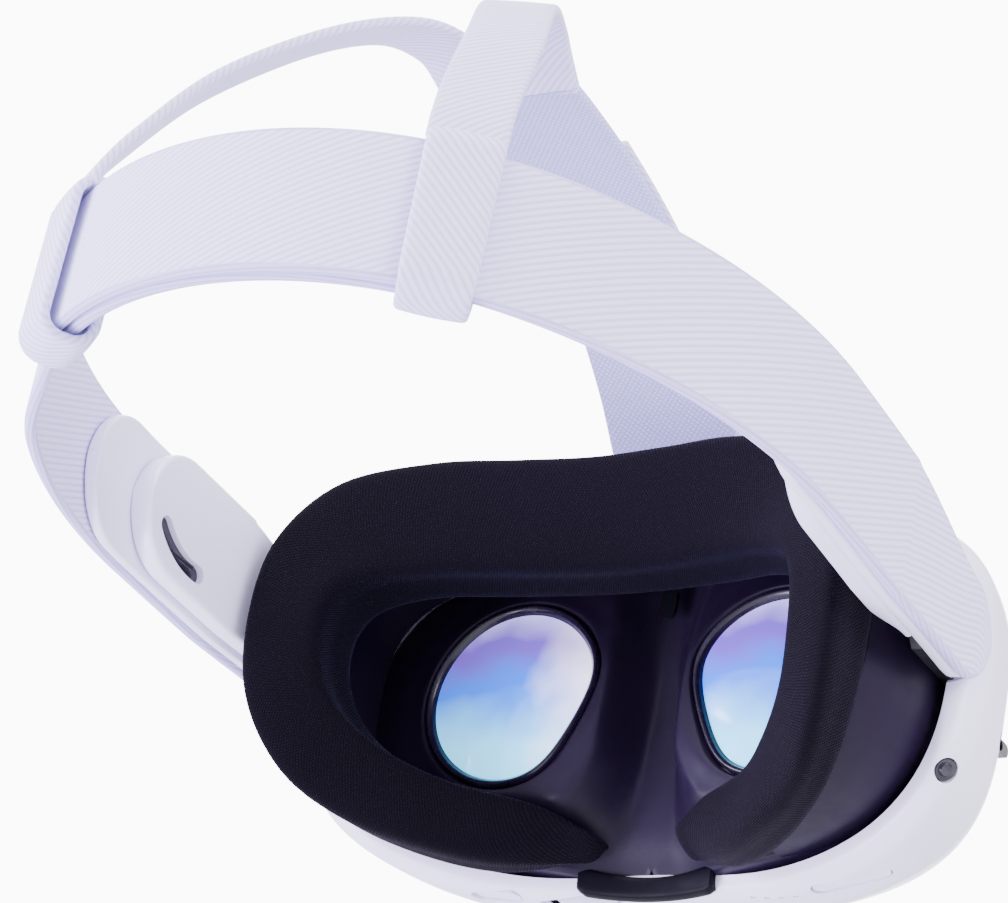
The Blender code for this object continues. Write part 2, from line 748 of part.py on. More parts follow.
def build_face_frame():
    rings = [interface_ring(77 * MM, 38 * MM, lambda x, z: rim_depth(x, z) - 9 * MM),
             interface_ring(78.2 * MM, 39 * MM, lambda x, z: rim_depth(x, z)),
             interface_ring(76 * MM, 38.8 * MM, lambda x, z: 0.5 * (rim_depth(x, z) + seam_depth(x, z))),
             interface_ring(72.5 * MM, 38 * MM, lambda x, z: max(seam_depth(x, z) - 2.2 * MM, rim_depth(x, z) + 1 * MM))]
    frame = loft(rings, close_rings=False)
    thicken(frame, FRAME_WALL)
    for _, side in sides():
        pocket = prism([(up, across) for across, up in reversed(pill(11 * MM, 4.6 * MM))], 16 * MM,
                       (side * 74 * MM, DEPTH_BUTTON_Y, DEPTH_BUTTON_Z), "X")
        cut(frame, as_cutter(pocket))
    finish(frame, "face_frame", dark_plastic(), True)


DEPTH_BUTTON_Y = 16 * MM
DEPTH_BUTTON_Z = -3 * MM


def build_depth_buttons():
    for name, side in sides():
        outline = [(up, across) for across, up in reversed(pill(11 * MM - 2 * GAP, 4.6 * MM - 2 * GAP))]
        key = prism(outline, 3 * MM, (side * 73.2 * MM, DEPTH_BUTTON_Y, DEPTH_BUTTON_Z), "X")
        finish(key, "depth_button_" + name, dark_plastic())


# ---------------------------------------------------------------- head strap

def strap_plan(run):
    """Plan point and outward normal of the strap's inner face; run is metres from y = 0 on the left."""
    quarter = math.pi / 4
    side_middle = Vector((0, STRAP_REAR_Y)) - (STRAP_SIDE_RADIUS - STRAP_REAR_RADIUS) * Vector((1, 1)).normalized()
    widest = side_middle.x + STRAP_SIDE_RADIUS
    front_run = side_middle.y
    side_run = STRAP_SIDE_RADIUS * quarter
    rear_run = STRAP_REAR_RADIUS * quarter
    half = front_run + side_run + rear_run
    mirrored = run > half
    run = min(run, 2 * half - run)
    if run < front_run:
        tilt = (run - front_run) / STRAP_FRONT_RADIUS
        middle = Vector((widest - STRAP_FRONT_RADIUS, front_run))
        radius = STRAP_FRONT_RADIUS
    elif run < front_run + side_run:
        tilt = (run - front_run) / STRAP_SIDE_RADIUS
        middle = side_middle
        radius = STRAP_SIDE_RADIUS
    else:
        tilt = quarter + (run - front_run - side_run) / STRAP_REAR_RADIUS
        middle = Vector((0, STRAP_REAR_Y))
        radius = STRAP_REAR_RADIUS
    normal = Vector((math.cos(tilt), math.sin(tilt)))
    point = middle + radius * normal
    if mirrored:
        point.x = -point.x
        normal.x = -normal.x
    return point, normal


STRAP_HALF_RUN = 84.66 * MM + (STRAP_SIDE_RADIUS + STRAP_REAR_RADIUS) * math.pi / 4


def strap_edges(y):
    """Heights of the strap's lower and upper edges at a depth y."""
    middle = 7.7 * MM + max(y - 52 * MM, 0) * 0.058
    low = middle - STRAP_HEIGHT / 2
    high = middle + STRAP_HEIGHT / 2
    if y < 52 * MM:
        high -= 9.9 * MM * ramp(52 * MM - y, -6 * MM, 46 * MM) ** 0.9
    tip = PIVOT_Y - ARM_TIP_RADIUS
    if y < PIVOT_Y:
        reach = math.sqrt(max(ARM_TIP_RADIUS ** 2 - (PIVOT_Y - max(y, tip + 0.15 * MM)) ** 2, 0))
        low = PIVOT_Z - reach
        high = PIVOT_Z + reach
    return low, high


def ribbon(side, runs, offset, inset=0.0, round_rear=None):
    """Open band along the strap's plan; offset(run) is its distance outward from the plan line.

    Runs start at the front of the ribbon's own side. round_rear gives the run where a
    rounded rear end closes and the length of its rounding.
    """
    tool = bmesh.new()
    rows = []
    for run in runs:
        point, normal = strap_plan(run if side > 0 else 2 * STRAP_HALF_RUN - run)
        place = point + normal * offset(run)
        low, high = strap_edges(point.y)
        low += inset
        high -= inset
        if round_rear:
            end, length = round_rear
            short = max(length - (end - run), 0) / length
            squeeze = (high - low) / 2 * (1 - math.sqrt(max(1 - short ** 2, 0.02)))
            low += squeeze
            high -= squeeze
        rows.append([tool.verts.new((place.x, place.y, low + (high - low) * k / 2)) for k in range(3)])
    for near, far in zip(rows, rows[1:]):
        for k in range(2):
            tool.faces.new((near[k], far[k], far[k + 1], near[k + 1]))
    return object_from(tool)


def spaced(start, end, count, finer_start=0, finer_end=0):
    """Runs between two values, with extra ones crowded at either end."""
    values = [start + (end - start) * i / count for i in range(count + 1)]
    step = (end - start) / count
    extra = [start + step * (1 - math.cos(math.pi / 2 * i / (finer_start + 1))) for i in range(1, finer_start + 1)]
    extra += [end - step * (1 - math.cos(math.pi / 2 * i / (finer_end + 1))) for i in range(1, finer_end + 1)]
    return sorted(values + extra)


ARM_START = PIVOT_Y - ARM_TIP_RADIUS + 0.2 * MM
ARM_END = 114 * MM
COVER_START = 30 * MM
COVER_END = 98 * MM


def build_arm_mounts():
    """Side brackets of the visor and the pins that the strap arms tilt on."""
    for name, side in sides():
        outline = [(-16 * MM, 8 * MM), (-16 * MM, -8 * MM)]
        outline += arc(10 * MM, -53, 53, 14, (PIVOT_Y, 0))
        outline = [(side * across, up) for across, up in outline]
        centre = (side * 80.45 * MM, 0, PIVOT_Z)
        plate = prism([(side * across, up) for across, up in outline], 2.9 * MM, centre, "X")
        bore = cylinder(PIN_RADIUS + 0.15 * MM, 12 * MM, (side * 80.45 * MM, PIVOT_Y, PIVOT_Z), "X", 28)
        cut(plate, as_cutter(bore))
        finish(plate, "arm_bracket_" + name, steel())
        pin = cylinder(PIN_RADIUS, 7.3 * MM, (side * 82.7 * MM, PIVOT_Y, PIVOT_Z), "X", 28)
        finish(pin, "arm_pin_" + name, steel(), True)


PIN_RADIUS = 4 * MM


def build_arms():
    for name, side in sides():
        tongue = ribbon(side, spaced(ARM_START, ARM_END, 12, 3, 3), lambda run: -1.8 * MM, 0.4 * MM,
                        (ARM_END + 0.5 * MM, 15 * MM))
        thicken(tongue, 3 * MM, 0)
        bore = cylinder(PIN_RADIUS + 0.25 * MM, 16 * MM, (side * 85 * MM, PIVOT_Y, PIVOT_Z), "X", 28)
        cut(tongue, as_cutter(bore))
        set_origin(tongue, (0, PIVOT_Y, PIVOT_Z))
        finish(tongue, "arm_" + name, white_plastic(), True)
        cover = ribbon(side, spaced(COVER_START, COVER_END, 9, 0, 3), lambda run: -6.4 * MM, 1.2 * MM,
                       (COVER_END + 0.5 * MM, 15 * MM))
        thicken(cover, 5.6 * MM, 0)
        pocket = box((4.6 * MM, 22 * MM, 13 * MM), (side * 83.05 * MM, SPEAKER_Y, SPEAKER_Z))
        cut(cover, as_cutter(pocket))
        bend = arc(MOUTH_RADIUS + 1.5 * MM, -96, -46, 8) + arc(MOUTH_RADIUS - 1.5 * MM, -46, -96, 8)
        mouth = prism(bend, 8 * MM, (side * 79.4 * MM, MOUTH_Y, MOUTH_Z), "X")
        cut(cover, as_cutter(mouth))
        finish(cover, "arm_cover_" + name, white_plastic(), True)
        driver = box((3.6 * MM, 20 * MM, 11 * MM), (side * 82.9 * MM, SPEAKER_Y, SPEAKER_Z), 0.8 * MM)
        finish(driver, "speaker_" + name, black_plastic())


SPEAKER_Y = 78 * MM
SPEAKER_Z = 6 * MM
MOUTH_RADIUS = 19 * MM
MOUTH_Y = 74.5 * MM
MOUTH_Z = 18.5 * MM


def build_side_straps():
    end = STRAP_HALF_RUN + STRAP_REAR_RADIUS * (SLIDER_ANGLE + math.radians(3.5))
    shifts = {"left": -3.0 * MM, "right": 0.3 * MM}
    for name, side in sides():
        strap = ribbon(side, spaced(ARM_START - 0.2 * MM, end, 36, 3, 0),
                       lambda run, shift=shifts[name]: 1.35 * MM + shift * ramp(run, 146 * MM, 180 * MM))
        thicken(strap, STRAP_WALL, 0)
        finish(strap, "side_strap_" + name, white_fabric(), True)


SLIDER_LENGTH = 16 * MM
SLIDER_WALL = 2.3 * MM
SLIDER_ROOM = 8.2 * MM


def slider_place(side):
    """Middle of a slider's opening, and its turn about +Z."""
    turn = math.pi / 2 - side * SLIDER_ANGLE
    normal = Vector((math.cos(turn), math.sin(turn), 0))
    point = Vector((0, STRAP_REAR_Y, 0)) + STRAP_REAR_RADIUS * normal
    low, high = strap_edges(point.y)
    point.z = (low + high) / 2
    return point, turn


def build_sliders():
    for name, side in sides():
        point, turn = slider_place(side)
        inner_height = STRAP_HEIGHT + 2 * MM
        outer = box((SLIDER_ROOM + 2 * SLIDER_WALL, SLIDER_LENGTH, inner_height + 2 * SLIDER_WALL), (0, 0, 0), 3 * MM)
        inner = box((SLIDER_ROOM, SLIDER_LENGTH * 2, inner_height), (0, 0, 0))
        for item in (outer, inner):
            item.rotation_euler = (0, 0, turn)
            item.location = point
        cut(outer, as_cutter(inner))
        finish(outer, "slider_" + name, white_fabric())


def build_branches():
    """The two arms of the Y, from the crown down to the sliders."""
    stations = ((9.6, 101.8, 100.5), (10.5, 108, 104.5), (15.5, 121, 104), (25.5, 139, 90.5), (36, 156, 69),
                (43, 169, 48), (46.4, 174.4, 36.2))
    top = Vector((1, 0, 0))
    for name, side in sides():
        point, turn = slider_place(side)
        foot = Vector((math.sin(turn), -side * side * math.cos(turn) * side, 0))
        foot = Vector((abs(math.sin(turn)), -abs(math.cos(turn)), 0))
        tool = bmesh.new()
        rows = []
        path = smooth_points([tuple(v * MM for v in row) for row in stations], 3)
        for i, (x, y, z) in enumerate(path):
            across = top.lerp(foot, ramp(i / (len(path) - 1), 0.1, 0.7)).normalized() * 8.2 * MM
            rows.append([tool.verts.new((side * (x + k * across.x), y + k * across.y, z)) for k in (-1, 1)])
        for near, far in zip(rows, rows[1:]):
            tool.faces.new((near[0], far[0], far[1], near[1]))
        branch = object_from(tool)
        thicken(branch, 2.4 * MM, 0)
        finish(branch, "top_branch_" + name, white_fabric(), True)


TOP_STRAP_STATIONS = ((-4, 55.2), (3, 62), (13.5, 72), (28, 82.3), (42, 89), (58, 93.8), (75, 97.3), (99.5, 99.6))
ANCHOR_Y = -11.5 * MM


def strap_sheet(stations, half_width, shift):
    """Open band of constant width over the head, moved outward by shift."""
    path = smooth_points([(y * MM, z * MM) for y, z in stations], 3)
    tool = bmesh.new()
    rows = []
    for i, (y, z) in enumerate(path):
        before = Vector(path[max(i - 1, 0)])
        after = Vector(path[min(i + 1, len(path) - 1)])
        along = (after - before).normalized()
        y -= along.y * shift
        z += along.x * shift
        rows.append([tool.verts.new((k * half_width, y, z)) for k in (-1, 0, 1)])
    for near, far in zip(rows, rows[1:]):
        for k in range(2):
            tool.faces.new((near[k], far[k], far[k + 1], near[k + 1]))
    return object_from(tool)


def build_top_strap():
    strap = strap_sheet(TOP_STRAP_STATIONS, 17.2 * MM, 0)
    thicken(strap, 2.4 * MM, 0)
    finish(strap, "top_strap", white_fabric(), True)
    tab = strap_sheet(TOP_STRAP_STATIONS[1:-1], 17.2 * MM, 2.6 * MM)
    thicken(tab, 2 * MM, 0)
    finish(tab, "top_strap_tab", white_fabric(), True)
    bar = cylinder(1.8 * MM, 36 * MM, (0, ANCHOR_Y, 42.6 * MM), "X", 16)
    finish(bar, "strap_anchor", steel(), True)


# ---------------------------------------------------------------- object

def main():
    global PARTS, CUTTERS, ROOT
    clear_scene()
    PARTS = new_collection("vr_headset")
    CUTTERS = new_collection("cutters")
    ROOT = bpy.data.objects.new("eye_frame", None)
    ROOT.location = EYE_ORIGIN
    PARTS.objects.link(ROOT)
    for build in (build_front_shell, build_windows, build_front_cameras, build_tracking_cameras, build_sockets,
                  build_buttons, build_nose_trim, build_mid_frame, build_electronics, build_rods, build_lenses,
                  build_spacing_drive, build_face_shroud, build_face_pad, build_face_frame, build_depth_buttons,
                  build_arm_mounts, build_arms, build_side_straps, build_sliders, build_branches, build_top_strap):
        build()


main()
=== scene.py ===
"""A self-contained vr headset: visor, soft face interface, audio arms and a woven head strap."""

import json
import math

import bmesh
import bpy
from mathutils import Matrix, Vector

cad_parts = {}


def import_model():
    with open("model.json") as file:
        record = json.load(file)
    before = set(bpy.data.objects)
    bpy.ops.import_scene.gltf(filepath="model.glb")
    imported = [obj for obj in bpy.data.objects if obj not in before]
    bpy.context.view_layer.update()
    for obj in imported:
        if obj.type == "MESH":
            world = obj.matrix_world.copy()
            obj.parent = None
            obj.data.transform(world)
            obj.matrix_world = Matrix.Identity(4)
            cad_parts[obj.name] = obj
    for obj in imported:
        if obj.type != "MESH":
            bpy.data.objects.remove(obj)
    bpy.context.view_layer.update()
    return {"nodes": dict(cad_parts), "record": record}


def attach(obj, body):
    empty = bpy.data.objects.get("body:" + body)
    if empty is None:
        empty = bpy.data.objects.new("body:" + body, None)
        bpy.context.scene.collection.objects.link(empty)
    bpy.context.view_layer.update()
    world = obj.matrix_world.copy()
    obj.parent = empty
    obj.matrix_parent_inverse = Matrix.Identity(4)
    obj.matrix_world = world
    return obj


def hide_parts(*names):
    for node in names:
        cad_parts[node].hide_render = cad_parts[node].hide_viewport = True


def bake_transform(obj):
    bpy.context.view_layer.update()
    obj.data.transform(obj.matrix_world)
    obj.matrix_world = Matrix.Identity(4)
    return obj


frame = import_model()

MM = 0.001
JOINTS = {joint["name"]: joint for joint in frame["record"]["behaviour"]["joints"]}
PIVOT = (14.0, 3.0)  # depth and height of the arm pins in the eye frame, in millimetres
EYE = Vector(JOINTS["headband_tilt"]["pos_m"]) - Vector((0, PIVOT[0], PIVOT[1])) * MM


def world(point):
    """A point of the eye frame, in millimetres, as a place in the row frame."""
    return EYE + Vector(point) * MM


def ramp(value, low, high):
    """A smooth step from 0 at low to 1 at high."""
    t = min(max((value - low) / (high - low), 0), 1)
    return t * t * (3 - 2 * t)


def power(value, exponent):
    """A power that keeps the value's sign."""
    return math.copysign(abs(value) ** exponent, value)


SQUARENESS = 3.2


def oval(half_width, half_height, angle):
    """A point of a rounded rectangle about the origin."""
    return (half_width * power(math.cos(angle), 2 / SQUARENESS),
            half_height * power(math.sin(angle), 2 / SQUARENESS))


def spline(stations, steps, closed=False):
    """Points of a smooth curve through stations given as equal-length tuples."""
    count = len(stations)
    result = []
    for i in range(count if closed else count - 1):
        if closed:
            a, b, c, d = (stations[(i + k) % count] for k in (-1, 0, 1, 2))
        else:
            a, b, c, d = (stations[min(max(i + k, 0), count - 1)] for k in (-1, 0, 1, 2))
        for k in range(steps):
            t = k / steps
            result.append(tuple(0.5 * (2 * q + (r - p) * t + (2 * p - 5 * q + 4 * r - s) * t * t
                                       + (3 * q - p - 3 * r + s) * t ** 3)
                                for p, q, r, s in zip(a, b, c, d)))
    if not closed:
        result.append(tuple(stations[-1]))
    return result


# ---------------------------------------------------------------- materials

class Nodes:
    """Short calls for building a material's node tree."""

    def __init__(self, name):
        self.material = bpy.data.materials.new(name)
        self.material.use_nodes = True
        self.tree = self.material.node_tree
        self.shader = self.tree.nodes["Principled BSDF"]

    def add(self, kind, settings=None, **inputs):
        node = self.tree.nodes.new("ShaderNode" + kind)
        for key, value in (settings or {}).items():
            setattr(node, key, value)
        for key, value in inputs.items():
            self.put(node.inputs[int(key[1:]) if key[1:].isdigit() else key.replace("_", " ")], value)
        return node

    def put(self, socket, value):
        if isinstance(value, bpy.types.Node):
            value = value.outputs[0]
        if isinstance(value, bpy.types.NodeSocket):
            self.tree.links.new(value, socket)
        else:
            socket.default_value = value

    def math(self, operation, first, second=0.0, third=0.0):
        return self.add("Math", {"operation": operation}, i0=first, i1=second, i2=third)

    def noise(self, where, scale, detail=2.0, roughness=0.5):
        return self.add("TexNoise", None, Vector=where, Scale=scale, Detail=detail, Roughness=roughness)

    def blend(self, amount, first, second):
        mixer = self.add("Mix", {"data_type": "RGBA"}, i0=amount)
        self.put(mixer.inputs[6], first)
        self.put(mixer.inputs[7], second)
        return mixer.outputs[2]

    def spread(self, value, low, high, new_low=0.0, new_high=1.0):
        return self.add("MapRange", None, Value=value, From_Min=low, From_Max=high, To_Min=new_low,
                        To_Max=new_high)

    def place(self):
        return self.add("TexCoord").outputs["Object"]

    def run(self, angle=0.0, scale=1.0):
        """The piece's own weave coordinates, in metres along and across it, turned and scaled."""
        uv = self.add("UVMap", {"uv_map": "weave"})
        mapping = self.add("Mapping", None, Vector=uv)
        mapping.inputs["Rotation"].default_value = (0, 0, math.radians(angle))
        mapping.inputs["Scale"].default_value = (scale, scale, scale)
        return mapping

    def bands(self, where, period):
        """A smooth wave from 0 to 1 along the first coordinate."""
        axis = self.add("SeparateXYZ", None, Vector=where)
        phase = self.math("MULTIPLY", axis.outputs[0], 2 * math.pi / period)
        return self.math("MULTIPLY_ADD", self.math("SINE", phase), 0.5, 0.5)

    def bump(self, height, strength, distance):
        self.put(self.shader.inputs["Normal"],
                 self.add("Bump", None, Height=height, Strength=strength, Distance=distance).outputs[0])

    def set(self, **values):
        for key, value in values.items():
            self.put(self.shader.inputs[key.replace("_", " ")], value)


def plastic(name, colour, tint, roughness, grain, coat=0.0, shine=0.5):
    """Moulded plastic: fine spark-eroded grain, faint handling marks, slightly uneven gloss."""
    n = Nodes(name)
    where = n.place()
    broad = n.noise(where, 26.0, 3.0)
    marks = n.noise(where, 240.0, 2.0)
    fine = n.noise(where, 1800.0, 2.0, 0.6)
    n.set(Base_Color=n.blend(n.spread(broad, 0.35, 0.65), (*colour, 1), (*tint, 1)),
          Roughness=n.spread(marks, 0.3, 0.7, roughness - 0.05, roughness + 0.07),
          Coat_Weight=coat, Coat_Roughness=0.12, IOR=1.49, Specular_IOR_Level=shine)
    n.bump(fine, 0.25, grain)
    return n.material


def metal(name, colour, roughness):
    """Bare metal with fine drawn lines."""
    n = Nodes(name)
    where = n.add("Mapping", None, Vector=n.place())
    where.inputs["Scale"].default_value = (60, 2400, 2400)
    lines = n.noise(where, 1.0, 3.0)
    n.set(Base_Color=n.blend(lines, (*colour, 1), (*[c * 0.75 for c in colour], 1)), Metallic=1.0,
          Roughness=n.spread(lines, 0.3, 0.7, roughness - 0.08, roughness + 0.1))
    n.bump(lines, 0.2, 0.00003)
    return n.material


def twill(name, angle, light=(0.76, 0.715, 0.975), groove=(0.55, 0.505, 0.87), rib=0.00140, lift=1.0):
    """Ribbed elastic webbing: slanting ribs of twisted threads."""
    n = Nodes(name)
    where = n.run(angle)
    ribs = n.bands(where, rib)
    cross = n.add("Mapping", None, Vector=where)
    cross.inputs["Rotation"].default_value = (0, 0, math.radians(62))
    threads = n.bands(cross, rib * 0.42)
    wander = n.noise(n.place(), 900.0, 2.0)
    broad = n.noise(n.place(), 22.0, 2.0)
    rise = n.math("POWER", ribs, 0.7)
    height = n.math("MULTIPLY_ADD", threads, 0.22, n.math("MULTIPLY_ADD", wander, 0.25, rise))
    shade = n.spread(rise, 0.1, 0.85)
    worn = n.blend(n.spread(broad, 0.3, 0.7), (*light, 1), (*[c * 0.955 for c in light[:2]], light[2], 1))
    n.set(Base_Color=n.blend(shade, (*groove, 1), worn), Roughness=0.82, Specular_IOR_Level=0.3,
          Sheen_Weight=0.25, Sheen_Roughness=0.45, Sheen_Tint=(0.85, 0.85, 1.0, 1))
    n.bump(height, 0.45 * lift, 0.00018)
    return n.material


def basket(name):
    """The looped underside of the webbing: a fine two-way weave."""
    n = Nodes(name)
    period = 0.00105
    first = n.bands(n.run(42), period)
    second = n.bands(n.run(-48), period)
    wander = n.noise(n.place(), 1100.0, 2.0)
    knots = n.math("MULTIPLY", first, second)
    height = n.math("MULTIPLY_ADD", wander, 0.3, knots)
    n.set(Base_Color=n.blend(n.spread(knots, 0.02, 0.6), (0.42, 0.41, 0.80, 1), (0.62, 0.60, 0.93, 1)),
          Roughness=0.88, Specular_IOR_Level=0.25, Sheen_Weight=0.25, Sheen_Roughness=0.5)
    n.bump(height, 0.6, 0.00022)
    return n.material


def knit(name):
    """Dark napped knit over foam: staggered stitches with a faint violet sheen."""
    n = Nodes(name)
    period = 0.00060
    wander = n.noise(n.run(0, 420.0), 1.0, 2.0)
    shaky = n.add("VectorMath", {"operation": "SCALE"}, Vector=wander.outputs[1], Scale=0.0006)
    first = n.bands(n.add("VectorMath", {"operation": "ADD"}, i0=n.run(32), i1=shaky), period)
    second = n.bands(n.add("VectorMath", {"operation": "ADD"}, i0=n.run(-32), i1=shaky), period)
    fuzz = n.noise(n.place(), 1500.0, 3.0)
    broad = n.noise(n.place(), 40.0, 2.0)
    stitch = n.math("MULTIPLY", first, second)
    height = n.math("MULTIPLY_ADD", fuzz, 0.45, stitch)
    dark = n.blend(n.spread(broad, 0.3, 0.7), (0.0006, 0.0002, 0.0014, 1), (0.0010, 0.0004, 0.0021, 1))
    n.set(Base_Color=n.blend(n.spread(height, 0.2, 0.95), dark, (0.0042, 0.0020, 0.0090, 1)),
          Roughness=0.84, Specular_IOR_Level=0.08, Sheen_Weight=0.05, Sheen_Roughness=0.28,
          Sheen_Tint=(0.66, 0.50, 1.0, 1))
    n.bump(height, 0.7, 0.00026)
    return n.material


def painted_reflection_lens(name):
    """Lens with painted reflections: violet above, blue to cyan below, a painted white glare by the nose,
    and a painted glow of the same colours.
    """
    n = Nodes(name)
    half = 0.022
    uv = n.add("SeparateXYZ", None, Vector=n.run())
    drift = n.noise(n.run(0, 60.0), 1.0, 2.0)
    wander = n.math("SUBTRACT", drift, 0.5)
    up = n.math("MULTIPLY_ADD", wander, 0.35, n.spread(uv.outputs[1], -half, half))
    across = n.math("MULTIPLY_ADD", wander, -0.5, n.spread(uv.outputs[0], -half, half))
    # These colours are painted reflections, not the glass's own colour; the white blend by the nose is a
    # painted glare.
    low = n.blend(n.spread(up, 0.20, 0.52), (0.17, 0.66, 1.0, 1), (0.020, 0.15, 0.85, 1))
    sky = n.blend(n.spread(up, 0.56, 0.76), low, (0.14, 0.07, 0.50, 1))
    top = n.blend(n.spread(up, 0.82, 1.0), sky, (0.48, 0.42, 0.95, 1))
    painted_reflection = n.blend(n.spread(across, 0.62, 1.05), top, (0.92, 0.87, 1.0, 1))
    # The emission is a painted glow: the lens shines with its painted reflections though no lamp lights
    # it.
    n.set(Base_Color=painted_reflection, Roughness=0.14, IOR=1.6, Coat_Weight=0.35, Coat_Roughness=0.05,
          Emission_Color=painted_reflection, Emission_Strength=1.6)
    n.bump(n.noise(n.place(), 60.0, 1.0), 0.02, 0.0001)
    return n.material


def circuit(name):
    """Green solder mask over a maze of paler tracks."""
    n = Nodes(name)
    cells = n.add("TexVoronoi", {"feature": "DISTANCE_TO_EDGE"}, Vector=n.place(), Scale=260.0)
    track = n.spread(cells, 0.02, 0.06)
    n.set(Base_Color=n.blend(track, (0.10, 0.30, 0.16, 1), (0.02, 0.12, 0.07, 1)), Roughness=0.45)
    n.bump(track, 0.3, 0.00005)
    return n.material


WHITE = (0.81, 0.775, 0.975)
WHITE_TINT = (0.78, 0.75, 0.965)
PLUM = (0.0105, 0.0055, 0.021)
PLUM_TINT = (0.0085, 0.0045, 0.016)
FINISH = {
    "shell": plastic("shell_white", WHITE, WHITE_TINT, 0.42, 0.00004, 0.15),
    "arm_shell": plastic("arm_white", (0.80, 0.77, 0.975), (0.77, 0.745, 0.965), 0.36, 0.00003, 0.2),
    "dark_trim": plastic("dark_trim_grain", (0.05, 0.045, 0.06), (0.04, 0.036, 0.05), 0.5, 0.0001),
    "black_trim": plastic("black_gloss", (0.012, 0.010, 0.018), (0.018, 0.015, 0.024), 0.22, 0.00002,
                          0.4),
    "plum_gloss": plastic("plum_gloss", PLUM, PLUM_TINT, 0.24, 0.00001, 0.1, shine=0.4),
    "grey_wall": plastic("plum_matte", PLUM, PLUM_TINT, 0.42, 0.00006, shine=0.17),
    "soft_strip": plastic("strip_black", (0.002, 0.0015, 0.005), (0.003, 0.002, 0.006), 0.42, 0.00005,
                          shine=0.08),
    "window": plastic("window_tint", (0.003, 0.003, 0.005), (0.005, 0.005, 0.008), 0.14, 0.00001, 0.05,
                      shine=0.25),
    "bare_metal": metal("blackened_steel", (0.10, 0.10, 0.11), 0.40),
    "cooling_metal": metal("plain_aluminium", (0.70, 0.70, 0.72), 0.38),
    "board": circuit("solder_mask"),
    "cell": metal("cell_foil", (0.50, 0.50, 0.53), 0.45),
    "strap": twill("strap_twill", 62),
    "strap_left": twill("strap_twill_left", -62),
    "slider": twill("slider_twill", 46, rib=0.00145, lift=1.2),
    "strap_edge": twill("strap_edge", 88, (0.62, 0.58, 0.90), (0.46, 0.42, 0.80), 0.0011),
    "underside": basket("strap_underside"),
    "knit": knit("pad_knit"),
    "lens": painted_reflection_lens("lens_painted_reflection"),
}
# The spacing wheel is as pale as the casing, unlike its slot.
for row in frame["record"]["subparts"]:
    held = frame["nodes"][row["node"]].data.materials
    held.clear()
    held.append(FINISH["shell" if row["node"] == "spacing_wheel" else row["material_slot"]])


# ---------------------------------------------------------------- meshes

def piece(name, points, faces, material, body, uvs=None):
    """A mesh from eye-frame points in millimetres, riding on a CAD body unless that is None."""
    mesh = bpy.data.meshes.new(name)
    mesh.from_pydata([world(point) for point in points], [], faces)
    if uvs:
        layer = mesh.uv_layers.new(name="weave")
        for loop in mesh.loops:
            layer.data[loop.index].uv = uvs[loop.vertex_index]
    mesh.polygons.foreach_set("use_smooth", [True] * len(mesh.polygons))
    mesh.materials.append(material)
    mesh.update()
    item = bpy.data.objects.new(name, mesh)
    bpy.context.scene.collection.objects.link(item)
    if body:
        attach(item, body)
    return item


def turn_outward(mesh):
    """Makes every face of a closed mesh face outward."""
    tool = bmesh.new()
    tool.from_mesh(mesh)
    bmesh.ops.recalc_face_normals(tool, faces=tool.faces)
    tool.to_mesh(mesh)
    tool.free()


def skin(name, rows, material, body, closed=True, looped=False, caps=False, edge=None, flats=()):
    """A surface through rows of points.

    closed joins each row's ends, and looped joins the last row to the first. With an edge
    material, the columns outside the ranges in flats are made of it. Weave coordinates run along
    the rows' middle line and across each row, in metres.
    """
    wide = len(rows[0]) + (1 if closed else 0)
    tall = len(rows) + (1 if looped else 0)
    points, uvs, faces = [], [], []
    length = 0.0
    middle = None
    for r in range(tall):
        row = [Vector(p) for p in rows[r % len(rows)]]
        centre = sum(row, Vector()) / len(row)
        if middle is not None:
            length += (centre - middle).length
        middle = centre
        turn = 0.0
        for c in range(wide):
            point = row[c % len(row)]
            if c:
                turn += (point - row[c - 1]).length
            points.append(point)
            uvs.append((length * MM, turn * MM))
    for r in range(tall - 1):
        for c in range(wide - 1):
            a = r * wide + c
            faces.append((a, a + 1, a + wide + 1, a + wide))
    if caps:
        faces.append(tuple(reversed(range(wide - 1))))
        faces.append(tuple(range((tall - 1) * wide, tall * wide - 1)))
    item = piece(name, points, faces, material, None, uvs)
    mesh = item.data
    if edge:
        mesh.materials.append(edge)
        for i in range((tall - 1) * (wide - 1)):
            on_flat = any(i % (wide - 1) in flat for flat in flats)
            mesh.polygons[i].material_index = 0 if on_flat else 1
    tool = bmesh.new()
    tool.from_mesh(mesh)
    bmesh.ops.remove_doubles(tool, verts=tool.verts, dist=0.00001)
    bmesh.ops.dissolve_degenerate(tool, edges=tool.edges, dist=0.000005)
    bmesh.ops.recalc_face_normals(tool, faces=tool.faces)
    tool.to_mesh(mesh)
    tool.free()
    if body:
        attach(item, body)
    return item


def settle(item):
    """Applies an object's modifiers."""
    graph = bpy.context.evaluated_depsgraph_get()
    mesh = bpy.data.meshes.new_from_object(item.evaluated_get(graph))
    item.modifiers.clear()
    item.data = mesh
    mesh.polygons.foreach_set("use_smooth", [True] * len(mesh.polygons))


def solid(item, wall):
    """Gives a surface a wall thickness, in millimetres, on its inner side."""
    made = item.modifiers.new("wall", "SOLIDIFY")
    made.thickness = wall * MM
    made.offset = -1.0
    settle(item)


def carve(item, tools):
    """Cuts the tools' shapes out of an object and deletes the tools."""
    for tool in tools:
        made = item.modifiers.new("hole", "BOOLEAN")
        made.object = tool
        made.solver = "EXACT"
    settle(item)
    for tool in tools:
        bpy.data.objects.remove(tool, do_unlink=True)


def block(outline, near, far, place):
    """A closed prism between two depths; place turns (a, b, depth) into an eye-frame point."""
    count = len(outline)
    points = [place(a, b, near) for a, b in outline] + [place(a, b, far) for a, b in outline]
    faces = [tuple(range(count)), tuple(reversed(range(count, 2 * count)))]
    faces += [(i, count + i, count + (i + 1) % count, (i + 1) % count) for i in range(count)]
    item = piece("tool", points, faces, FINISH["shell"], None)
    turn_outward(item.data)
    return item


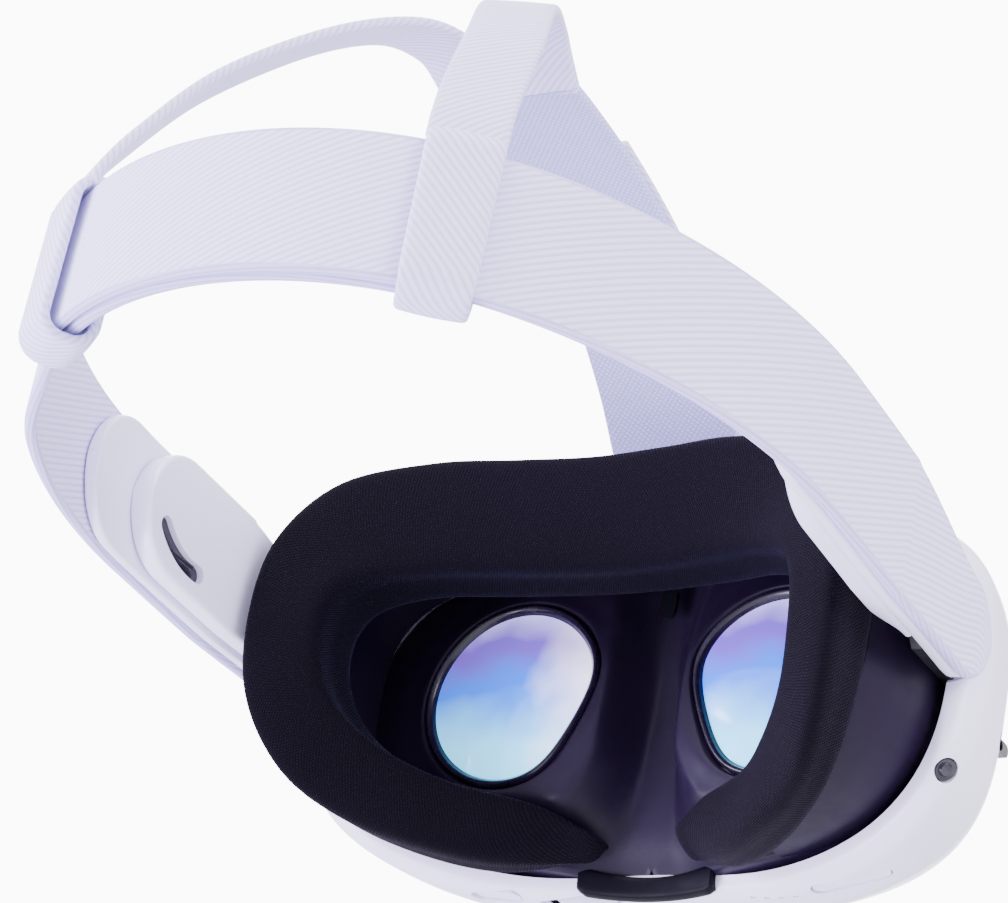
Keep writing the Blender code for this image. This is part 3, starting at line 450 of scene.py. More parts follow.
def arc(radius, start, end, steps, centre=(0, 0)):
    """Points of an arc between two angles in degrees."""
    return [(centre[0] + radius * math.cos(math.radians(start + (end - start) * i / steps)),
             centre[1] + radius * math.sin(math.radians(start + (end - start) * i / steps)))
            for i in range(steps + 1)]


def pill(length, width, steps=12):
    """Outline of a round-ended slot about the origin."""
    reach = (length - width) / 2
    return arc(width / 2, -90, 90, steps, (reach, 0)) + arc(width / 2, 90, 270, steps, (-reach, 0))


def sharpen(item, angle):
    """Keeps creases above an angle, in degrees, crisp on a smooth-shaded mesh."""
    item.data.set_sharp_from_angle(angle=math.radians(angle))


SIDES = (("left", 1), ("right", -1))

# ---------------------------------------------------------------- strap plan

STRAP_REAR_RADIUS = 79.0
STRAP_REAR_Y = 108.0
STRAP_SIDE_RADIUS = 112.0
STRAP_FRONT_RADIUS = 1500.0
STRAP_HEIGHT = 32.6
STRAP_MIDDLE = 7.7
STRAP_LEVEL_Y = 52.0  # behind this depth the strap climbs, and forward of it the strap narrows
STRAP_CLIMB = 0.058
STRAP_NARROWING = 9.9
STRAP_SHIFT = {"left": -2.8, "right": 0.3}  # how far outward the rear stretch moves
ARM_TIP_RADIUS = 11.5
SLIDER_ANGLE = math.radians(35)
ARM_START = PIVOT[0] - ARM_TIP_RADIUS + 0.2
ARM_END = 109.5
COVER_START = 30.0
COVER_END = 92.0
SIDE_MIDDLE = (Vector((0, STRAP_REAR_Y))
               - (STRAP_SIDE_RADIUS - STRAP_REAR_RADIUS) * Vector((1, 1)).normalized())
HALF_RUN = SIDE_MIDDLE.y + (STRAP_SIDE_RADIUS + STRAP_REAR_RADIUS) * math.pi / 4


def strap_plan(run):
    """Plan point and outward normal of the strap's inner face at a run from the left arm's front."""
    quarter = math.pi / 4
    widest = SIDE_MIDDLE.x + STRAP_SIDE_RADIUS
    mirrored = run > HALF_RUN
    run = min(run, 2 * HALF_RUN - run)
    if run < SIDE_MIDDLE.y:
        tilt = (run - SIDE_MIDDLE.y) / STRAP_FRONT_RADIUS
        middle, radius = Vector((widest - STRAP_FRONT_RADIUS, SIDE_MIDDLE.y)), STRAP_FRONT_RADIUS
    elif run < SIDE_MIDDLE.y + STRAP_SIDE_RADIUS * quarter:
        tilt = (run - SIDE_MIDDLE.y) / STRAP_SIDE_RADIUS
        middle, radius = SIDE_MIDDLE, STRAP_SIDE_RADIUS
    else:
        tilt = quarter + (run - SIDE_MIDDLE.y - STRAP_SIDE_RADIUS * quarter) / STRAP_REAR_RADIUS
        middle, radius = Vector((0, STRAP_REAR_Y)), STRAP_REAR_RADIUS
    normal = Vector((math.cos(tilt), math.sin(tilt)))
    point = middle + radius * normal
    if mirrored:
        point.x, normal.x = -point.x, -normal.x
    return point, normal


def strap_edges(y):
    """Heights of the strap's lower and upper edges at a depth."""
    middle = STRAP_MIDDLE + max(y - STRAP_LEVEL_Y, 0) * STRAP_CLIMB
    low, high = middle - STRAP_HEIGHT / 2, middle + STRAP_HEIGHT / 2
    if y < STRAP_LEVEL_Y:
        high -= STRAP_NARROWING * ramp(STRAP_LEVEL_Y - y, -6, 46) ** 0.9
    if y < PIVOT[0]:
        gone = PIVOT[0] - max(y, PIVOT[0] - ARM_TIP_RADIUS + 0.02)
        reach = math.sqrt(max(ARM_TIP_RADIUS ** 2 - gone ** 2, 0))
        low, high = PIVOT[1] - reach, PIVOT[1] + reach
    return low, high


def section(half_width, half_depth, radius, flat, crown=0.0):
    """Outline of a band with rounded edges and flat steps per face, as (across, outward) pairs."""
    radius = min(radius, half_depth, half_width)
    w, t = half_width - radius, half_depth - radius
    outline = []
    for corner, (a, n, start) in enumerate(((w, t, 0), (-w, t, 90), (-w, -t, 180), (w, -t, 270))):
        outline += arc(radius, start, start + 90, 3, (a, n))
        if corner in (0, 2):
            sign = 1 if corner == 0 else -1
            outline += [(sign * (w - 2 * w * i / flat), sign * half_depth) for i in range(1, flat)]
    if crown:
        outline = [(a, n + crown * (1 - (a / half_width) ** 2)) for a, n in outline]
    return outline


def ribbon_rows(side, runs, offset, half_depth, inset, rear, radius, crown=0.0):
    """Rows of points for a band along the strap plan.

    It lies outward by offset(run) and is half_depth(run) thick each way. rear is the run where
    the band ends and the length over which it rounds off, or None for a square end.
    """
    rows = []
    for run in runs:
        point, normal = strap_plan(run if side > 0 else 2 * HALF_RUN - run)
        low, high = strap_edges(point.y)
        low, high = low + inset, high - inset
        if rear:
            end, length = rear
            short = max(length - (end - run), 0) / length
            squeeze = (high - low) / 2 * (1 - math.sqrt(max(1 - short ** 2, 0.0004)))
            low, high = low + squeeze, high - squeeze
        middle, half = (low + high) / 2, max((high - low) / 2, 0.3)
        place = point + normal * offset(run)
        rows.append([(place.x + normal.x * n, place.y + normal.y * n, middle + a)
                     for a, n in section(half, half_depth(run), radius, 8, crown)])
    return rows


def spaced(start, end, count, first, last):
    """Runs between two values, with extra ones crowded at either end."""
    step = (end - start) / count
    values = [start + step * i for i in range(count + 1)]
    values += [start + step * (1 - math.cos(math.pi / 2 * i / (first + 1))) for i in range(1, first + 1)]
    values += [end - step * (1 - math.cos(math.pi / 2 * i / (last + 1))) for i in range(1, last + 1)]
    return sorted(values)


# ---------------------------------------------------------------- visor casing

RIM_HALF_WIDTH = 81.0
VISOR_HALF_WIDTH = 87.4
VISOR_HALF_HEIGHT = 45.6
VISOR_FRONT = -60.0
# half width, half height and share of the way from the rear rim to the front, rim first
CASING = ((RIM_HALF_WIDTH, 41, 0), (84.6, 43.8, 0.02), (86.9, 45.2, 0.08),
          (VISOR_HALF_WIDTH, VISOR_HALF_HEIGHT, 0.16), (84.6, 44.4, 0.38), (79.6, 41.2, 0.55),
          (71, 36.4, 0.75), (63.5, 31.8, 0.87), (56.5, 27, 0.95), (48, 21.3, 0.99), (32, 10, 1))
SHELL_WALL = 2.0
WINDOW_PLACES = (36.0, 0.0, -36.0)
WHEEL_X = 19.0
WHEEL_Y = -24.8
BRACKET_RADIUS = 12.7
TRACKER_RADIUS = 2.9
TRACKER = Vector((81.6, 0.6, -25.0))
TRACKER_AIM = Vector((0.72, 0.42, -0.55)).normalized()
UNDER_HALF_WIDTH = 84.5
UNDER_HALF_HEIGHT = 44.4
BUTTON_Y = -20.0
BUTTONS = ((-52, 19), (40, 13))  # place across and length of each key in the underside


def rim_depth(x, z):
    """Depth of the casing's rear rim."""
    reach = min(abs(x) / RIM_HALF_WIDTH, 1) ** 2
    nose = -21 + 26 * reach
    return nose + (3 + 2 * reach - nose) * ramp(z, -36, 36)


def notch(x, z):
    """How far the casing's lower edge lifts over the nose."""
    if z >= 0:
        return 0
    return 2.4 * math.exp(-(x / 22) ** 2) * min(-z / VISOR_HALF_HEIGHT, 1)


def front_depth(x):
    return VISOR_FRONT + 5 * (x / VISOR_HALF_WIDTH) ** 2


def casing_point(half_width, half_height, forward, angle):
    x, z = oval(half_width, half_height, angle)
    z += notch(x, z) * (1 - ramp(forward, 0.1, 0.55))
    return x, rim_depth(x, z) + (front_depth(x) - rim_depth(x, z)) * forward, z


def even_angles(count):
    """Angles whose points lie evenly round a rounded rectangle."""
    steps = 2000
    fine = [oval(2, 1, 2 * math.pi * i / steps) for i in range(steps + 1)]
    runs = [0.0]
    for a, b in zip(fine, fine[1:]):
        runs.append(runs[-1] + math.hypot(b[0] - a[0], b[1] - a[1]))
    angles, k = [], 0
    for i in range(count):
        want = runs[-1] * i / count
        while runs[k + 1] < want:
            k += 1
        share = (want - runs[k]) / (runs[k + 1] - runs[k])
        angles.append(2 * math.pi * (k + share) / steps)
    return angles


def underside(x):
    """Height and tilt of the casing's underside at x."""
    def height(at):
        reach = min(abs(at) / UNDER_HALF_WIDTH, 1)
        return -UNDER_HALF_HEIGHT * (1 - reach ** SQUARENESS) ** (1 / SQUARENESS)
    return height(x) + notch(x, height(x)), -math.atan((height(x + 1) - height(x - 1)) / 2)


def under_place(x):
    """Maps a flat outline to the casing's underside at x; depth runs inward."""
    height, tilt = underside(x)

    def place(a, b, depth):
        return (x + a * math.cos(tilt) + depth * math.sin(tilt), BUTTON_Y + b,
                height - a * math.sin(tilt) + depth * math.cos(tilt))
    return place


def barrel_tool(side, radius, near, far):
    """A round cutter along a tracking camera's line of sight."""
    aim = Vector((side * TRACKER_AIM.x, TRACKER_AIM.y, TRACKER_AIM.z))
    turn = aim.to_track_quat("Z", "Y")
    base = Vector((side * TRACKER.x, TRACKER.y, TRACKER.z))
    return block(arc(radius, 0, 350, 35), near, far, lambda a, b, d: base + turn @ Vector((a, b, d)))


def close_front(shell):
    """Fills the casing's flat front and turns every face outward."""
    tool = bmesh.new()
    tool.from_mesh(shell.data)
    rim = [e for e in tool.edges if e.is_boundary and e.verts[0].co.y < world((0, -50, 0)).y]
    bmesh.ops.holes_fill(tool, edges=rim)
    bmesh.ops.recalc_face_normals(tool, faces=tool.faces)
    if sum(f.normal.y for f in tool.faces if f.calc_center_median().y < world((0, -59, 0)).y) > 0:
        bmesh.ops.reverse_faces(tool, faces=tool.faces)
    tool.to_mesh(shell.data)
    tool.free()


def shell_cutters():
    """Tools for the windows, arm brackets, cameras, sockets, keys, wheel, strap slot and small holes."""
    tools = []
    for x in WINDOW_PLACES:
        front = front_depth(x)
        tools.append(block(pill(34, 12.6), front - 6, front + 8, lambda a, b, d, x=x: (x + b, d, a)))
    for _, side in SIDES:
        tools.append(block(arc(BRACKET_RADIUS, 0, 355, 71, PIVOT), 80.8, 100,
                           lambda a, b, d, s=side: (s * d, a, b)))
        tools.append(barrel_tool(side, TRACKER_RADIUS, -8, 8))
        tools.append(block(pill(9.8, 3.9), 74, 90, lambda a, b, d, s=side: (s * d, a - 24, b - 8)))
    for x, length in BUTTONS:
        tools.append(block(pill(length + 0.9, 5.3), -5, 7, under_place(x)))
    wheel = [(-10.1, -3.2), (10.1, -3.2), (10.1, 3.2), (-10.1, 3.2)]
    tools.append(block(wheel, -50, -38, lambda a, b, d: (WHEEL_X + a, WHEEL_Y + b, d)))
    tools.append(block(pill(38, 5.4), 40, 50, lambda a, b, d: (a, b - 11.5, d)))
    for i in range(4):
        tools.append(block(pill(1.7, 0.8, 5), -3, 3,
                           lambda a, b, d, i=i: (-27 - 3.6 * i + a, b - 22, -42.6 + d)))
    return tools


def make_shell():
    angles = even_angles(200)
    rows = [[casing_point(*size, angle) for angle in angles] for size in spline(CASING, 5)]
    shell = skin("visor_shell", rows, FINISH["shell"], None)
    close_front(shell)
    solid(shell, SHELL_WALL)
    carve(shell, shell_cutters())
    sharpen(shell, 32)
    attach(shell, "visor")
    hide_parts("front_shell")


make_shell()

# ---------------------------------------------------------------- face frame

# half width, half height and share of the way from the casing's rim to the pad's seam, where a
# negative share lies inside the casing
FACE_FRAME = ((76.5, 37.6, -0.45), (78.2, 39, 0), (77.8, 39.2, 0.25), (76.2, 38.9, 0.55),
              (74.2, 38.4, 0.8), (72.6, 38, 1.0))
FRAME_WALL = 2.2
NOSE_ANGLE = 0.30  # half of the stretch left open at the nose, in radians of the outline


def interface_row(half_width, half_height, depth):
    """Points round the frame's outline from one side of the nose to the other."""
    row = []
    count = 160
    for i in range(count + 1):
        angle = -math.pi / 2 + NOSE_ANGLE + (2 * math.pi - 2 * NOSE_ANGLE) * i / count
        x, z = oval(half_width, half_height, angle)
        row.append((x, depth(x, z), z))
    return row


def seam_depth(x, z):
    """Depth of the seam where the pad meets the frame."""
    cheek = -20 + 50 * min(abs(x) / 74, 1.05) ** 1.6
    brow = 15 + 15 * min(abs(x) / 74, 1.05) ** 2
    return cheek + (brow - cheek) * ramp(z, -12, 34)


def make_face_frame():
    rows = []
    for half_width, half_height, part in FACE_FRAME:
        def depth(x, z, part=part):
            rim = rim_depth(x, z)
            rear = max(seam_depth(x, z) - 0.4, rim + 1)
            return rim + part * (rear - rim) if part >= 0 else rim + 20 * part
        rows.append(interface_row(half_width, half_height, depth))
    across = [spline([row[i] for row in rows], 5) for i in range(len(rows[0]))]
    wall = skin("face_frame_wall", across, FINISH["grey_wall"], None, closed=False)
    solid(wall, FRAME_WALL)
    tools = []
    for _, side in SIDES:
        tools.append(block(pill(11, 4.6), 66, 76.1, lambda a, b, d, s=side: (s * d, 16 + b, a - 3)))
    carve(wall, tools)
    sharpen(wall, 40)
    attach(wall, "interface")
    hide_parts("face_frame")


make_face_frame()

# ---------------------------------------------------------------- face pad

# outer point, then inner point, of the pad's rear edge, from the nose over the cheek to the brow
PAD_STATIONS = ((16, -18, -38.5, 13, -10, -32.5), (30, -1, -44.5, 22, -3, -29.5),
                (43, 12, -45.5, 38, 9, -28.5), (57, 23, -43, 49, 22, -26),
                (68, 36, -36.5, 57, 33, -20), (75, 46, -22, 60.5, 40, -10),
                (76.5, 50, -2, 60, 42, 2), (74, 49.5, 18, 55, 40, 10), (62, 46, 34, 44, 33, 15),
                (40, 41, 40.5, 30, 27, 17.5), (20, 37, 41.8, 14, 22.5, 18.4), (0, 35, 42, 0, 21, 18.6))
PAD_DEPTH = 17.0
PAD_SWELL = 3.8
PAD_END = 5.0  # how far the pad's two ends by the nose bulge


def make_face_pad():
    right = [(-a, b, c, -d, e, f) for a, b, c, d, e, f in reversed(PAD_STATIONS[:-1])]
    stations = spline(list(PAD_STATIONS) + right, 8)
    back = Vector((0, 1, 0))
    rows = []
    for ox, oy, oz, ix, iy, iz in stations:
        outer, inner = Vector((ox, oy + PAD_SWELL, oz)), Vector((ix, iy + PAD_SWELL, iz))
        across = inner - outer
        seam = Vector((ox, seam_depth(ox, oz) + 0.2, oz)) + across * 0.13
        lining = Vector((ix, max(seam.y - 2, iy - PAD_DEPTH), iz)) + across * 0.02
        control = [seam, outer.lerp(seam, 0.55) - across * 0.015, outer.lerp(seam, 0.2) + across * 0.005,
                   outer + across * 0.10 + back * 0.1, outer + across * 0.32 + back * 1.2,
                   outer + across * 0.66 + back * 1.1, inner - across * 0.07 + back * 0.3,
                   inner.lerp(lining, 0.14) + across * 0.01, inner.lerp(lining, 0.55) - across * 0.03,
                   lining, lining.lerp(seam, 0.5)]
        rows.append([Vector(p) for p in spline([tuple(c) for c in control], 4, closed=True)])
    rounded = []
    for edge, beyond in ((rows[0], rows[1]), (rows[-1], rows[-2])):
        centre = sum(edge, Vector()) / len(edge)
        out = (centre - sum(beyond, Vector()) / len(beyond)).normalized()
        caps = []
        for k in range(1, 7):
            t = math.radians(15 * k)
            shrink, push = max(math.cos(t), 0.02), PAD_END * math.sin(t)
            caps.append([centre + (p - centre) * shrink + out * push for p in edge])
        rounded.append(caps)
    rows = list(reversed(rounded[0])) + rows + rounded[1]
    pad = skin("face_pad_knit", rows, FINISH["knit"], "interface", caps=True)
    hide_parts("face_pad")


make_face_pad()

# ---------------------------------------------------------------- lenses and shroud

LENS_X = 35.0
LENS_RADIUS = 21.6
LENS_FLAT = 19.1  # distance of the flattened stretch by the nose from the lens middle
LENS_FLAT_TURN = 0.41  # how far below level it faces, in radians
LENS_BACK = -6.5
RIM_PROFILE = ((2.05, -6.0), (2.05, -1.9), (1.6, -1.35), (0.9, -1.5), (0.35, -2.2), (-0.1, -3.1),
               (-0.4, -3.6), (-0.4, -6.0))  # growth of the lens outline, and depth
SHROUD_HALF_WIDTH = 76.5
SHROUD_TOP = 37.0
SHROUD_BOTTOM = 39.5
VALLEY = spline(((36, -10), (25, -11.2), (12, -13.2), (0, -15), (-15, -16.4), (-28, -17.2), (-36, -20),
                 (-41, -21.8)), 6)  # height and depth of the hollow between the lenses


def lens_outline(grow, count=120):
    """Lens outline about its own middle, wearer's left eye; grow moves it outward."""
    outline = []
    nasal = math.pi + LENS_FLAT_TURN
    for i in range(count):
        angle = 2 * math.pi * i / count
        facing = math.cos(angle - nasal)
        chord = (LENS_FLAT + grow) / facing if facing > 0.2 else 999.0
        circle = LENS_RADIUS + grow
        reach = (circle ** -9 + chord ** -9) ** (-1 / 9)
        outline.append((reach * math.cos(angle), reach * math.sin(angle)))
    return outline


def half_outline(angle):
    """Distance from the lens centre to the shroud half's edge at an angle."""
    c, s = math.cos(angle), math.sin(angle)
    low, high = 20.0, 120.0
    for _ in range(40):
        r = (low + high) / 2
        x, z = LENS_X + r * c, r * s
        top = SHROUD_TOP if z > 0 else SHROUD_BOTTOM
        inside = x > 0 and (x / SHROUD_HALF_WIDTH) ** 2.9 + (abs(z) / top) ** 2.9 < 1
        low, high = (r, high) if inside else (low, r)
    return low


def valley_depth(z):
    """Depth of the hollow between the lenses at a height."""
    z = min(max(z, VALLEY[-1][0]), VALLEY[0][0])
    for (z0, y0), (z1, y1) in zip(VALLEY, VALLEY[1:]):
        if z >= z1:
            return y0 + (y1 - y0) * ((z0 - z) / (z0 - z1))


def shroud_depth(x, z):
    """Rear face of the shroud: pods round the lenses and a deep valley at the nose."""
    away = math.hypot(x - LENS_X, z)
    pod = -1.7 - 1.2 * ramp(away, 24, 30) - 3.2 * ramp(away, 29, 44) - 5 * ramp(away, 40, 52)
    pod -= 9.0 * ramp(-z, 25, 38) + 3.0 * ramp(z, 27, 37)
    valley = valley_depth(z)
    start = 1.5 + 3.5 * ramp(-z, -20, 30)
    finish = 11.0 + 2.5 * ramp(z, 5, 30) + 14.0 * ramp(-z, 12, 38)
    return valley + (pod - valley) * ramp(abs(x), start, finish)


def make_shroud(name, side):
    """One half of the shroud: a row outward from each point of the lens opening."""
    rows = []
    steps = 30
    for a, b in lens_outline(2.4, 168):
        angle = math.atan2(b, a)
        reach = half_outline(angle)
        start = math.hypot(a, b)
        row = []
        for k in range(steps + 1):
            share = k / steps
            r = start + (reach - start) * (share ** 1.35)
            x, z = LENS_X + r * math.cos(angle), r * math.sin(angle)
            y = shroud_depth(x, z) - 1.0 * (1 - ramp(k, 0, 3))
            row.append((side * max(x, 0), y, z))
        edge = row[-1]
        if abs(edge[0]) > 2.0:
            row.append((edge[0] * 1.004, edge[1] - 1.2, edge[2] * 1.01))
            row.append((edge[0] * 1.004, edge[1] - 9, edge[2] * 1.01))
        else:
            row += [edge, edge]
        row.insert(0, (side * (LENS_X + a * 0.995), row[0][1] - 4, b * 0.995))
        rows.append(row)
    half = skin("face_shroud_" + name, rows, FINISH["grey_wall"], None, closed=False, looped=True)
    if half.data.polygons[len(half.data.polygons) // 2].normal.y < 0:
        half.data.flip_normals()
    world((0, 0, 0))
    world((side * 13, 0, 0))
    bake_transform(half)
    return half


def make_lens_rim(name, side):
    rows = [[(side * (LENS_X + a), y, b) for a, b in lens_outline(grow)] for grow, y in RIM_PROFILE]
    ring = skin("lens_rim_" + name, rows, FINISH["plum_gloss"], "lens_carriage_" + name)
    sharpen(ring, 50)
    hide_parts("lens_ring_" + name)


def make_lens_glass(name, side):
    """Domed glass in rings about its middle, then its edge and its flat back."""
    outline = lens_outline(-0.2)
    points, faces, uvs = [], [], []
    steps = 12
    for k in range(1, steps + 1):
        share = k / steps
        for a, b in outline:
            points.append((side * (LENS_X + a * share), -2.7 + 2.6 * (1 - share ** 2), b * share))
            uvs.append((-side * a * share * MM, b * share * MM))
    count = len(outline)
    for k in range(steps - 1):
        for i in range(count):
            j = (i + 1) % count
            faces.append((k * count + i, k * count + j, (k + 1) * count + j, (k + 1) * count + i))
    points.append((side * LENS_X, -0.1, 0))
    uvs.append((0, 0))
    faces += [(len(points) - 1, (i + 1) % count, i) for i in range(count)]
    rim_start = (steps - 1) * count
    back = len(points)
    for a, b in outline:
        points.append((side * (LENS_X + a), LENS_BACK, b))
        uvs.append((-side * a * MM, b * MM))
    for i in range(count):
        j = (i + 1) % count
        faces.append((rim_start + i, rim_start + j, back + j, back + i))
    faces.append(tuple(back + i for i in range(count)))
    glass = piece("lens_glass_" + name, points, faces, FINISH["lens"], None, uvs)
    turn_outward(glass.data)
    sharpen(glass, 60)
    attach(glass, "lens_carriage_" + name)
    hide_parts("lens_" + name)


halves = [make_shroud(name, side) for name, side in SIDES]
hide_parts("face_shroud")
for name, side in SIDES:
    make_lens_rim(name, side)
    make_lens_glass(name, side)

NOSE_TRIM_HALF_WIDTH = 17.6


def make_nose_trim():
    """A soft strip along the casing's lower edge, arched over the nose."""
    rows = []
    for i in range(61):
        x = NOSE_TRIM_HALF_WIDTH * (i - 30) / 30
        bow = (x / 18) ** 2
        y = -20.9 + 2.6 * bow
        low, high = -44.6 + 0.9 * bow, -39.6 + 2.4 * bow
        control = ((y - 2.4, low), (y - 0.3, low), (y + 0.5, low + 0.7), (y + 0.9, (low + high) / 2),
                   (y + 0.9, high - 0.5), (y + 0.2, high), (y - 1.8, high), (y - 2.2, (low + high) / 2))
        taper = 1 - 0.2 * ramp(abs(x), 16, NOSE_TRIM_HALF_WIDTH)
        rows.append([(x, b[0], (low + high) / 2 + (b[1] - (low + high) / 2) * taper)
                     for b in spline(control, 3, closed=True)])
    strip = skin("nose_strip", rows, FINISH["soft_strip"], "visor", caps=True)
    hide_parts("nose_trim")


make_nose_trim()

# ---------------------------------------------------------------- arms and head strap

MOUTH_MIDDLE = (70.3, 18.5)
MOUTH_RADIUS = 19.0
MOUTH_REACH = 2.2
MOUTH_SPAN = (-95, -46)


def mouth_outline():
    """The curved speaker opening: two arcs about one middle, with round ends."""
    start, end = MOUTH_SPAN
    centres = [arc(MOUTH_RADIUS, angle, angle, 1, MOUTH_MIDDLE)[0] for angle in (end, start)]
    outer = arc(MOUTH_RADIUS + MOUTH_REACH, start, end, 14, MOUTH_MIDDLE)
    far_end = arc(MOUTH_REACH, end, end + 180, 8, centres[0])
    inner = arc(MOUTH_RADIUS - MOUTH_REACH, end, start, 14, MOUTH_MIDDLE)
    near_end = arc(MOUTH_REACH, start + 180, start + 360, 8, centres[1])
    return outer[:-1] + far_end + inner[1:-1] + near_end[:-1]


def cover_step(run):
    """How much thinner the cover is near its front edge."""
    return 1.6 * ramp(-run, -44, -COVER_START)


def make_arm(name, side):
    rows = ribbon_rows(side, spaced(ARM_START, ARM_END, 60, 8, 14), lambda run: -1.85,
                       lambda run: 1.5, 0.5, (ARM_END, 16), 0.9)
    tongue = skin("arm_tongue_" + name, rows, FINISH["arm_shell"], "headband", caps=True)
    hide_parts("arm_" + name)
    rows = ribbon_rows(side, spaced(COVER_START, COVER_END, 44, 4, 14),
                       lambda run: -6.3 + cover_step(run), lambda run: 2.8 - cover_step(run), 1.4,
                       (COVER_END, 15), 1.3)
    cover = skin("arm_cover_skin_" + name, rows, FINISH["arm_shell"], None, caps=True)
    mouth = mouth_outline()
    carve(cover, [block(mouth, 74, 81.4, lambda a, b, d: (side * d, a, b))])
    sharpen(cover, 40)
    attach(cover, "headband")
    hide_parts("arm_cover_" + name)
    points = [(side * 81.3, a, b) for a, b in mouth]
    cloth = piece("speaker_cloth_" + name, points, [tuple(range(len(mouth)))], FINISH["black_trim"],
                  "headband", [(a * MM, b * MM) for a, b in mouth])


for name, side in SIDES:
    make_arm(name, side)


FLAT_COLUMNS = (range(3, 11), range(18, 26))  # the two flat faces of a section with 8 steps


def make_side_strap(name, side):
    end = HALF_RUN + STRAP_REAR_RADIUS * (SLIDER_ANGLE + math.radians(3.0))
    shift = STRAP_SHIFT[name]
    rows = ribbon_rows(side, spaced(ARM_START - 0.2, end, 120, 10, 0),
                       lambda run: 1.35 + shift * ramp(run, 138, 170), lambda run: 1.35, 0.0, None,
                       1.1, 0.25)
    web = FINISH["strap" if side < 0 else "strap_left"]
    strap = skin("side_strap_web_" + name, rows, web, "headband", caps=True, edge=FINISH["strap_edge"],
                 flats=FLAT_COLUMNS)
    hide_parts("side_strap_" + name)


for name, side in SIDES:
    make_side_strap(name, side)


def slider_frame(side):
    """Middle of a slider on the strap, its outward normal and its direction along the strap."""
    turn = math.pi / 2 - side * SLIDER_ANGLE
    normal = Vector((math.cos(turn), math.sin(turn), 0))
    point = Vector((0, STRAP_REAR_Y, 0)) + STRAP_REAR_RADIUS * normal
    low, high = strap_edges(point.y)
    point.z = (low + high) / 2
    return point, normal, Vector((-normal.y, normal.x, 0))


SLIDER_REACH = 5.5
SLIDER_HEIGHT = 18.2
SLIDER_CORNER = 4.6
SLIDER_HALF_LENGTH = 8.0


def make_slider(name, side):
    """A band wrapped round the strap as a closed loop with rounded corners."""
    point, normal, along = slider_frame(side)
    n, z = SLIDER_REACH - SLIDER_CORNER, SLIDER_HEIGHT - SLIDER_CORNER
    path = []
    for centre, start in (((n, z), 0), ((-n, z), 90), ((-n, -z), 180), ((n, -z), 270)):
        path += arc(SLIDER_CORNER, start, start + 90, 9, centre)
    rows = []
    count = len(path)
    for i, (n, z) in enumerate(path):
        before, after = path[i - 1], path[(i + 1) % count]
        tangent = Vector((after[0] - before[0], after[1] - before[1])).normalized()
        out = Vector((tangent.y, -tangent.x))
        wide = SLIDER_HALF_LENGTH - 0.6 * ramp(-z, 8, SLIDER_HEIGHT)
        rows.append([point + along * a + normal * (n + out.x * t) + Vector((0, 0, z + out.y * t))
                     for a, t in section(wide, 1.15, 1.1, 6, 0.35)])
    loop = skin("slider_web_" + name, rows, FINISH["slider"], "branch_" + name, looped=True)
    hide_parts("slider_" + name)


for name, side in SIDES:
    make_slider(name, side)

BRANCH_STATIONS = ((9.0, 98.0, 99.0), (9.6, 103.5, 102.4), (11.5, 112, 105.2), (16.5, 124, 102.6),
                   (25.5, 139, 90.8), (36.8, 156.4, 70), (43.2, 169, 48.5), (46.2, 174.2, 37.0),
                   (47.0, 175.4, 31.5))  # distance from the middle plane, depth and height
BRANCH_HALF_WIDTH = 8.2


def make_branch(name, side):
    """A narrow band from the top strap down to a slider, twisting to lie along the side strap."""
    along = slider_frame(side)[2]
    foot = Vector((abs(along.x), -abs(along.y), 0))
    path = [Vector(p) for p in spline(BRANCH_STATIONS, 8)]
    rows = []
    for i, p in enumerate(path):
        tangent = (path[min(i + 1, len(path) - 1)] - path[max(i - 1, 0)]).normalized()
        share = i / (len(path) - 1)
        across = Vector((1, 0, 0)).lerp(foot, ramp(share, 0.1, 0.7))
        across = (across - tangent * across.dot(tangent)).normalized()
        out = across.cross(tangent).normalized()
        if out.z + out.y < 0:
            out = -out
        rows.append([(side * (p.x + across.x * a + out.x * t), p.y + across.y * a + out.y * t,
                      p.z + across.z * a + out.z * t)
                     for a, t in section(BRANCH_HALF_WIDTH, 1.15, 1.0, 6, 0.2)])
    branch = skin("branch_web_" + name, rows, FINISH["slider"], "branch_" + name, caps=True)
    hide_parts("top_branch_" + name)


for name, side in SIDES:
    make_branch(name, side)

TOP_STATIONS = ((-11.0, 44.5), (-9.5, 48.5), (-4, 55.2), (3, 62), (13.5, 72), (28, 82.3), (42, 89),
                (58, 93.8), (75, 97.3), (90, 98.9), (99, 99.3))  # depth and height
TOP_HALF_WIDTH = 17.2


def sheet_rows(stations, half_depth, shift):
    """Rows for a band along the middle plane, moved outward from its stations by shift."""
    path = spline(stations, 8)
    rows = []
    for i, (y, z) in enumerate(path):
        before, after = Vector(path[max(i - 1, 0)]), Vector(path[min(i + 1, len(path) - 1)])
        along = (after - before).normalized()
        out = Vector((-along.y, along.x))
        rows.append([(a, y + out.x * (shift + t), z + out.y * (shift + t))
                     for a, t in section(TOP_HALF_WIDTH, half_depth, 0.95, 8)])
    return rows


def make_top_band(name, node, stations, half_depth, shift, material):
    band = skin(name, sheet_rows(stations, half_depth, shift), material, None, caps=True)
    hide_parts(node)
    world((0, -11, 46))
    world((0, 30, 84))
    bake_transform(band)


make_top_band("top_strap_web", "top_strap", TOP_STATIONS, 1.15, 0, FINISH["underside"])
make_top_band("top_strap_tab_web", "top_strap_tab", TOP_STATIONS[3:-2], 1.0, 2.35, FINISH["strap"])

# ---------------------------------------------------------------- light, floor and camera

